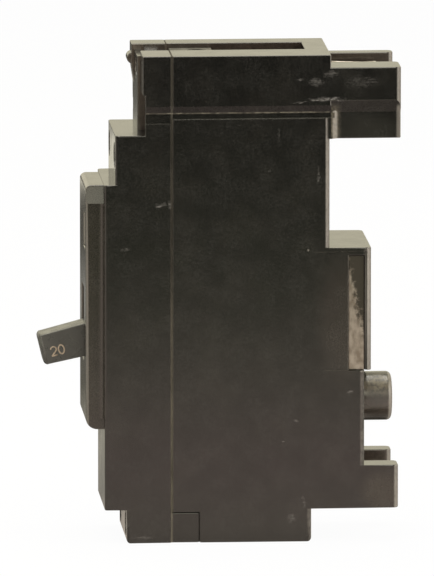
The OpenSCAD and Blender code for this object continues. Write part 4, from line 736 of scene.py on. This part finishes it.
BRAID_ROUTE = [(-5.85, 9.7, 56.4), (-5.85, 7, 55.4), (-5.85, -1.9, 55.8), (-5.85, -1.9, 62.5)]
HOT_ROUTE = [(-2, -1, 77.95), (-2, 6, 77.95), (-2, 9, 78.1), (-2, 21, 78.1), (-2, 21, 95.6)]
NEUTRAL_ROUTE = [(4.9, 2, 90.4), (4.9, 5.4, 90.4), (4.9, 5.6, 85.1), (2, 6.8, 79.9), (2, 18, 79.9),
                 (-2, 26.6, 82.1), (-2, 26.6, 90.6), (-2, 29.6, 90.6)]
lead("flexible_braid", "flexible_braid_woven", BRAID_ROUTE, bend=1.6, radius=0.9)
lead("hot_lead", "hot_lead_insulated", HOT_ROUTE, bend=1.7, radius=1.1)
lead("neutral_lead", "neutral_lead_insulated", NEUTRAL_ROUTE, bend=1.7, radius=1.1)
layer_coil("solenoid_coil", "solenoid_coil_wound", wire=0.3, inner=2.5)
ring_coil("transformer_winding", "transformer_winding_wound", wire=0.55, hole=4.6, turns=44)


# The number on the handle's side

HANDLE_AXIS = math.radians(13.5)
HANDLE_FACE = 3.4
NUMBER_REACH, NUMBER_DROP = 21.4, 0.75
DIGIT_W, DIGIT_H, DIGIT_GAP = 1.2, 1.9, 0.45
STROKE, STROKE_RISE = 0.16, 0.05


def digit_zero(steps=40):
    """An oval: (w/2·cos a, h/2·sin a)."""
    a = np.linspace(0, 2 * np.pi, steps, endpoint=False)
    return [(np.stack([DIGIT_W / 2 * np.cos(a), DIGIT_H / 2 * np.sin(a)], 1), True)]


def digit_two(steps=18):
    """An arc over the top, from 170° round to -35°, with a slanting stem, and a foot as a second stroke."""
    r = DIGIT_W / 2
    a = np.radians(np.linspace(170, -35, steps))
    arc = np.stack([r * np.cos(a), DIGIT_H / 2 - r + r * np.sin(a)], 1)
    foot = np.array([[-r - STROKE / 2, -DIGIT_H / 2], [r, -DIGIT_H / 2]])
    return [(np.vstack([arc, [-r, -DIGIT_H / 2]]), False), (foot, False)]


def on_handle(flat):
    """Points (u, v) of the number on the handle's side: u along the handle towards its pivot, v across it."""
    pivot = JOINT_AT["handle_swing"]
    u = flat[:, 0] - NUMBER_REACH
    v = flat[:, 1] - NUMBER_DROP
    y = u * math.cos(HANDLE_AXIS) - v * math.sin(HANDLE_AXIS)
    z = u * math.sin(HANDLE_AXIS) + v * math.cos(HANDLE_AXIS)
    return np.stack([np.full(len(flat), HANDLE_FACE), pivot[1] + y, pivot[2] + z], 1)


foil = marking_foil()
for strokes, side, name in ((digit_two(), -1, "handle_number_two"), (digit_zero(), 1, "handle_number_zero")):
    offset = [side * (DIGIT_W + DIGIT_GAP) / 2, 0]
    points, faces = np.empty((0, 3)), []
    for flat, closed in strokes:
        ring, quads = swept(on_handle(flat + offset), STROKE, STROKE_RISE, (1, 0, 0), 8, closed)
        faces += [[index + len(points) for index in quad] for quad in quads]
        points = np.vstack([points, ring.reshape(-1, 3)])
    piece = to_mesh(name, points, faces)
    piece.data.materials.append(foil)
    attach(piece, BODY_OF["handle"])


# Floor, light and camera

# The floor in millimetres, a little under the part
FLOOR_X, FLOOR_Y, FLOOR_CELLS, FLOOR_GAP = (-2500, 1500), (-2000, 2000), 8, 0.05
# Share of plain white that the camera sees of the floor; the rest takes the shadow
FLOOR_WHITE = 0.96
# What reflections see of the floor, as (x in metres, tone), fitted to the light on the photographed sides: a
# wide pool beside the near side, and a bright strip far behind the part
POOL = ((-0.64, "#6c6a62"), (-0.615, "#77746c"), (-0.59, "#a8a498"), (-0.572, "#bab6a8"), (-0.558, "#fff9e2"),
        (-0.5, "#fff9e2"), (-0.475, "#7c7970"), (-0.44, "#57554e"), (-0.39, "#5e5c55"), (-0.31, "#a19f97"),
        (-0.23, "#6b685f"), (-0.19, "#6c695f"), (-0.12, "#b3ae9f"), (-0.05, "#a09b90"),
        (0.03, "#ecdccb"), (0.12, "#f2dace"), (0.2, "#dfd2c0"), (0.33, "#94957f"), (0.42, "#717461"),
        (0.55, "#5d6052"), (0.65, "#20201e"), (0.8, "#181816"))


def pool_floor():
    """White paper with a trace of the shadow to the camera, and the fitted tones of POOL to reflections."""
    material, tree, shader, coords = new_material("paper_white", Roughness=0.9)
    shader.inputs["Base Color"].default_value = linear("#f4f3f1")
    path = add(tree, "LightPath")
    x = add(tree, "SeparateXYZ", {"Vector": coords}).outputs["X"]
    first, last = POOL[0][0], POOL[-1][0]
    along = add(tree, "MapRange", {"Value": x, "From Min": first, "From Max": last}).outputs["Result"]
    fade = add(tree, "ValToRGB", {"Fac": along})
    band = fade.color_ramp
    band.elements[0].color, band.elements[1].color = linear(POOL[0][1]), linear(POOL[-1][1])
    for place, code in POOL[1:-1]:
        band.elements.new((place - first) / (last - first)).color = linear(code)
    white = add(tree, "Emission", {"Color": (1, 1, 1, 1), "Strength": 1.0})
    pooled = add(tree, "Emission", {"Color": fade.outputs["Color"], "Strength": 1.0})
    paper = add(tree, "MixShader", {"Fac": FLOOR_WHITE, 1: shader.outputs[0], 2: white.outputs[0]})
    to_camera = path.outputs["Is Camera Ray"]
    seen = add(tree, "MixShader", {"Fac": to_camera, 1: shader.outputs[0], 2: paper.outputs[0]})
    bounced = strongest(tree, path.outputs["Is Glossy Ray"], (path.outputs["Is Transmission Ray"], 1.0))
    both = add(tree, "MixShader", {"Fac": bounced, 1: seen.outputs[0], 2: pooled.outputs[0]})
    tree.links.new(both.outputs[0], tree.nodes["Material Output"].inputs["Surface"])
    return material


u, v = np.meshgrid(*[np.linspace(*ends, FLOOR_CELLS + 1) for ends in (FLOOR_X, FLOOR_Y)], indexing="ij")
index = np.arange(u.size).reshape(u.shape)
tiles = np.stack([index[:-1, :-1], index[1:, :-1], index[1:, 1:], index[:-1, 1:]], -1).reshape(-1, 4).tolist()
floor = to_mesh("paper_floor", np.stack([u, v, np.full_like(u, FLOOR_Z - FLOOR_GAP)], -1), tiles)
floor.data.materials.append(pool_floor())


def room(bright="#fcf5d8", dim="#2c2d2d", soft="#9c9c9c"):
    """White surroundings for the camera. Reflections see them bright, and dim towards +X, the side of the
    photo's camera; the soft tone lights everything else."""
    world = bpy.data.worlds.new("white_room")
    bpy.context.scene.world = world
    world.use_nodes = True
    tree = world.node_tree
    path = add(tree, "LightPath")
    side = add(tree, "SeparateXYZ", {"Vector": add(tree, "TexCoord").outputs["Generated"]}).outputs["X"]
    reflected = tinted(tree, bright, (mask(tree, (side, 0.1, 0.75)), dim))
    bounced = strongest(tree, path.outputs["Is Glossy Ray"], (path.outputs["Is Transmission Ray"], 1.0))
    colour = tinted(tree, soft, (bounced, reflected), (path.outputs["Is Camera Ray"], "#ffffff"))
    tree.links.new(colour, tree.nodes["Background"].inputs["Color"])


def soft_lamp(name, place, size, power, tint="#fffaf0"):
    """A square soft box that faces the part's middle, in metres and watts."""
    data = bpy.data.lights.new(name, "AREA")
    data.color = linear(tint)[:3]
    data.size = size
    data.energy = power
    lamp = bpy.data.objects.new(name, data)
    bpy.context.scene.collection.objects.link(lamp)
    lamp.location = place
    lamp.rotation_euler = (-Vector(place)).to_track_quat("-Z", "Y").to_euler()


room()
soft_lamp("soft_box_over", (-0.1, -0.1, 0.9), 0.7, 6.5)
soft_lamp("soft_box_side", (0.5, -0.8, 0.5), 0.6, 2.5)
soft_lamp("soft_box_rear", (0.45, 0.75, 0.3), 0.6, 5.0)
soft_lamp("soft_box_fore", (0.96, 0.05, 0.36), 0.4, 1.0, "#f6f2da")

# The photo's view: the seam's lower near corner stands at pixel SEAM_PIXEL of an image of IMAGE pixels
IMAGE = (434, 576)
SEAM_PIXEL = (172, 543)
PIXELS_PER_MM = 4.73
AZIMUTH, ELEVATION, DISTANCE = math.radians(86), math.radians(9.2), 3000.0
SENSOR = 36.0

back = Vector((math.sin(AZIMUTH) * math.cos(ELEVATION), -math.cos(AZIMUTH) * math.cos(ELEVATION),
               math.sin(ELEVATION)))
right = Vector((math.cos(AZIMUTH), math.sin(AZIMUTH), 0))
above = back.cross(right)
middle = (Vector(at(NEAR_X, 0, 0)) + right * ((IMAGE[0] / 2 - SEAM_PIXEL[0]) / PIXELS_PER_MM)
          + above * ((SEAM_PIXEL[1] - IMAGE[1] / 2) / PIXELS_PER_MM))
camera_data = bpy.data.cameras.new("photo_camera")
camera_data.sensor_width = SENSOR
camera_data.lens = PIXELS_PER_MM * DISTANCE * SENSOR / max(IMAGE)
camera_data.clip_end = 20.0
camera = bpy.data.objects.new("photo_camera", camera_data)
bpy.context.scene.collection.objects.link(camera)
camera.location = (middle + back * DISTANCE) * MM
camera.rotation_euler = (-back).to_track_quat("-Z", "Y").to_euler()
bpy.context.scene.camera = camera
bpy.context.scene.view_settings.view_transform = "Standard"
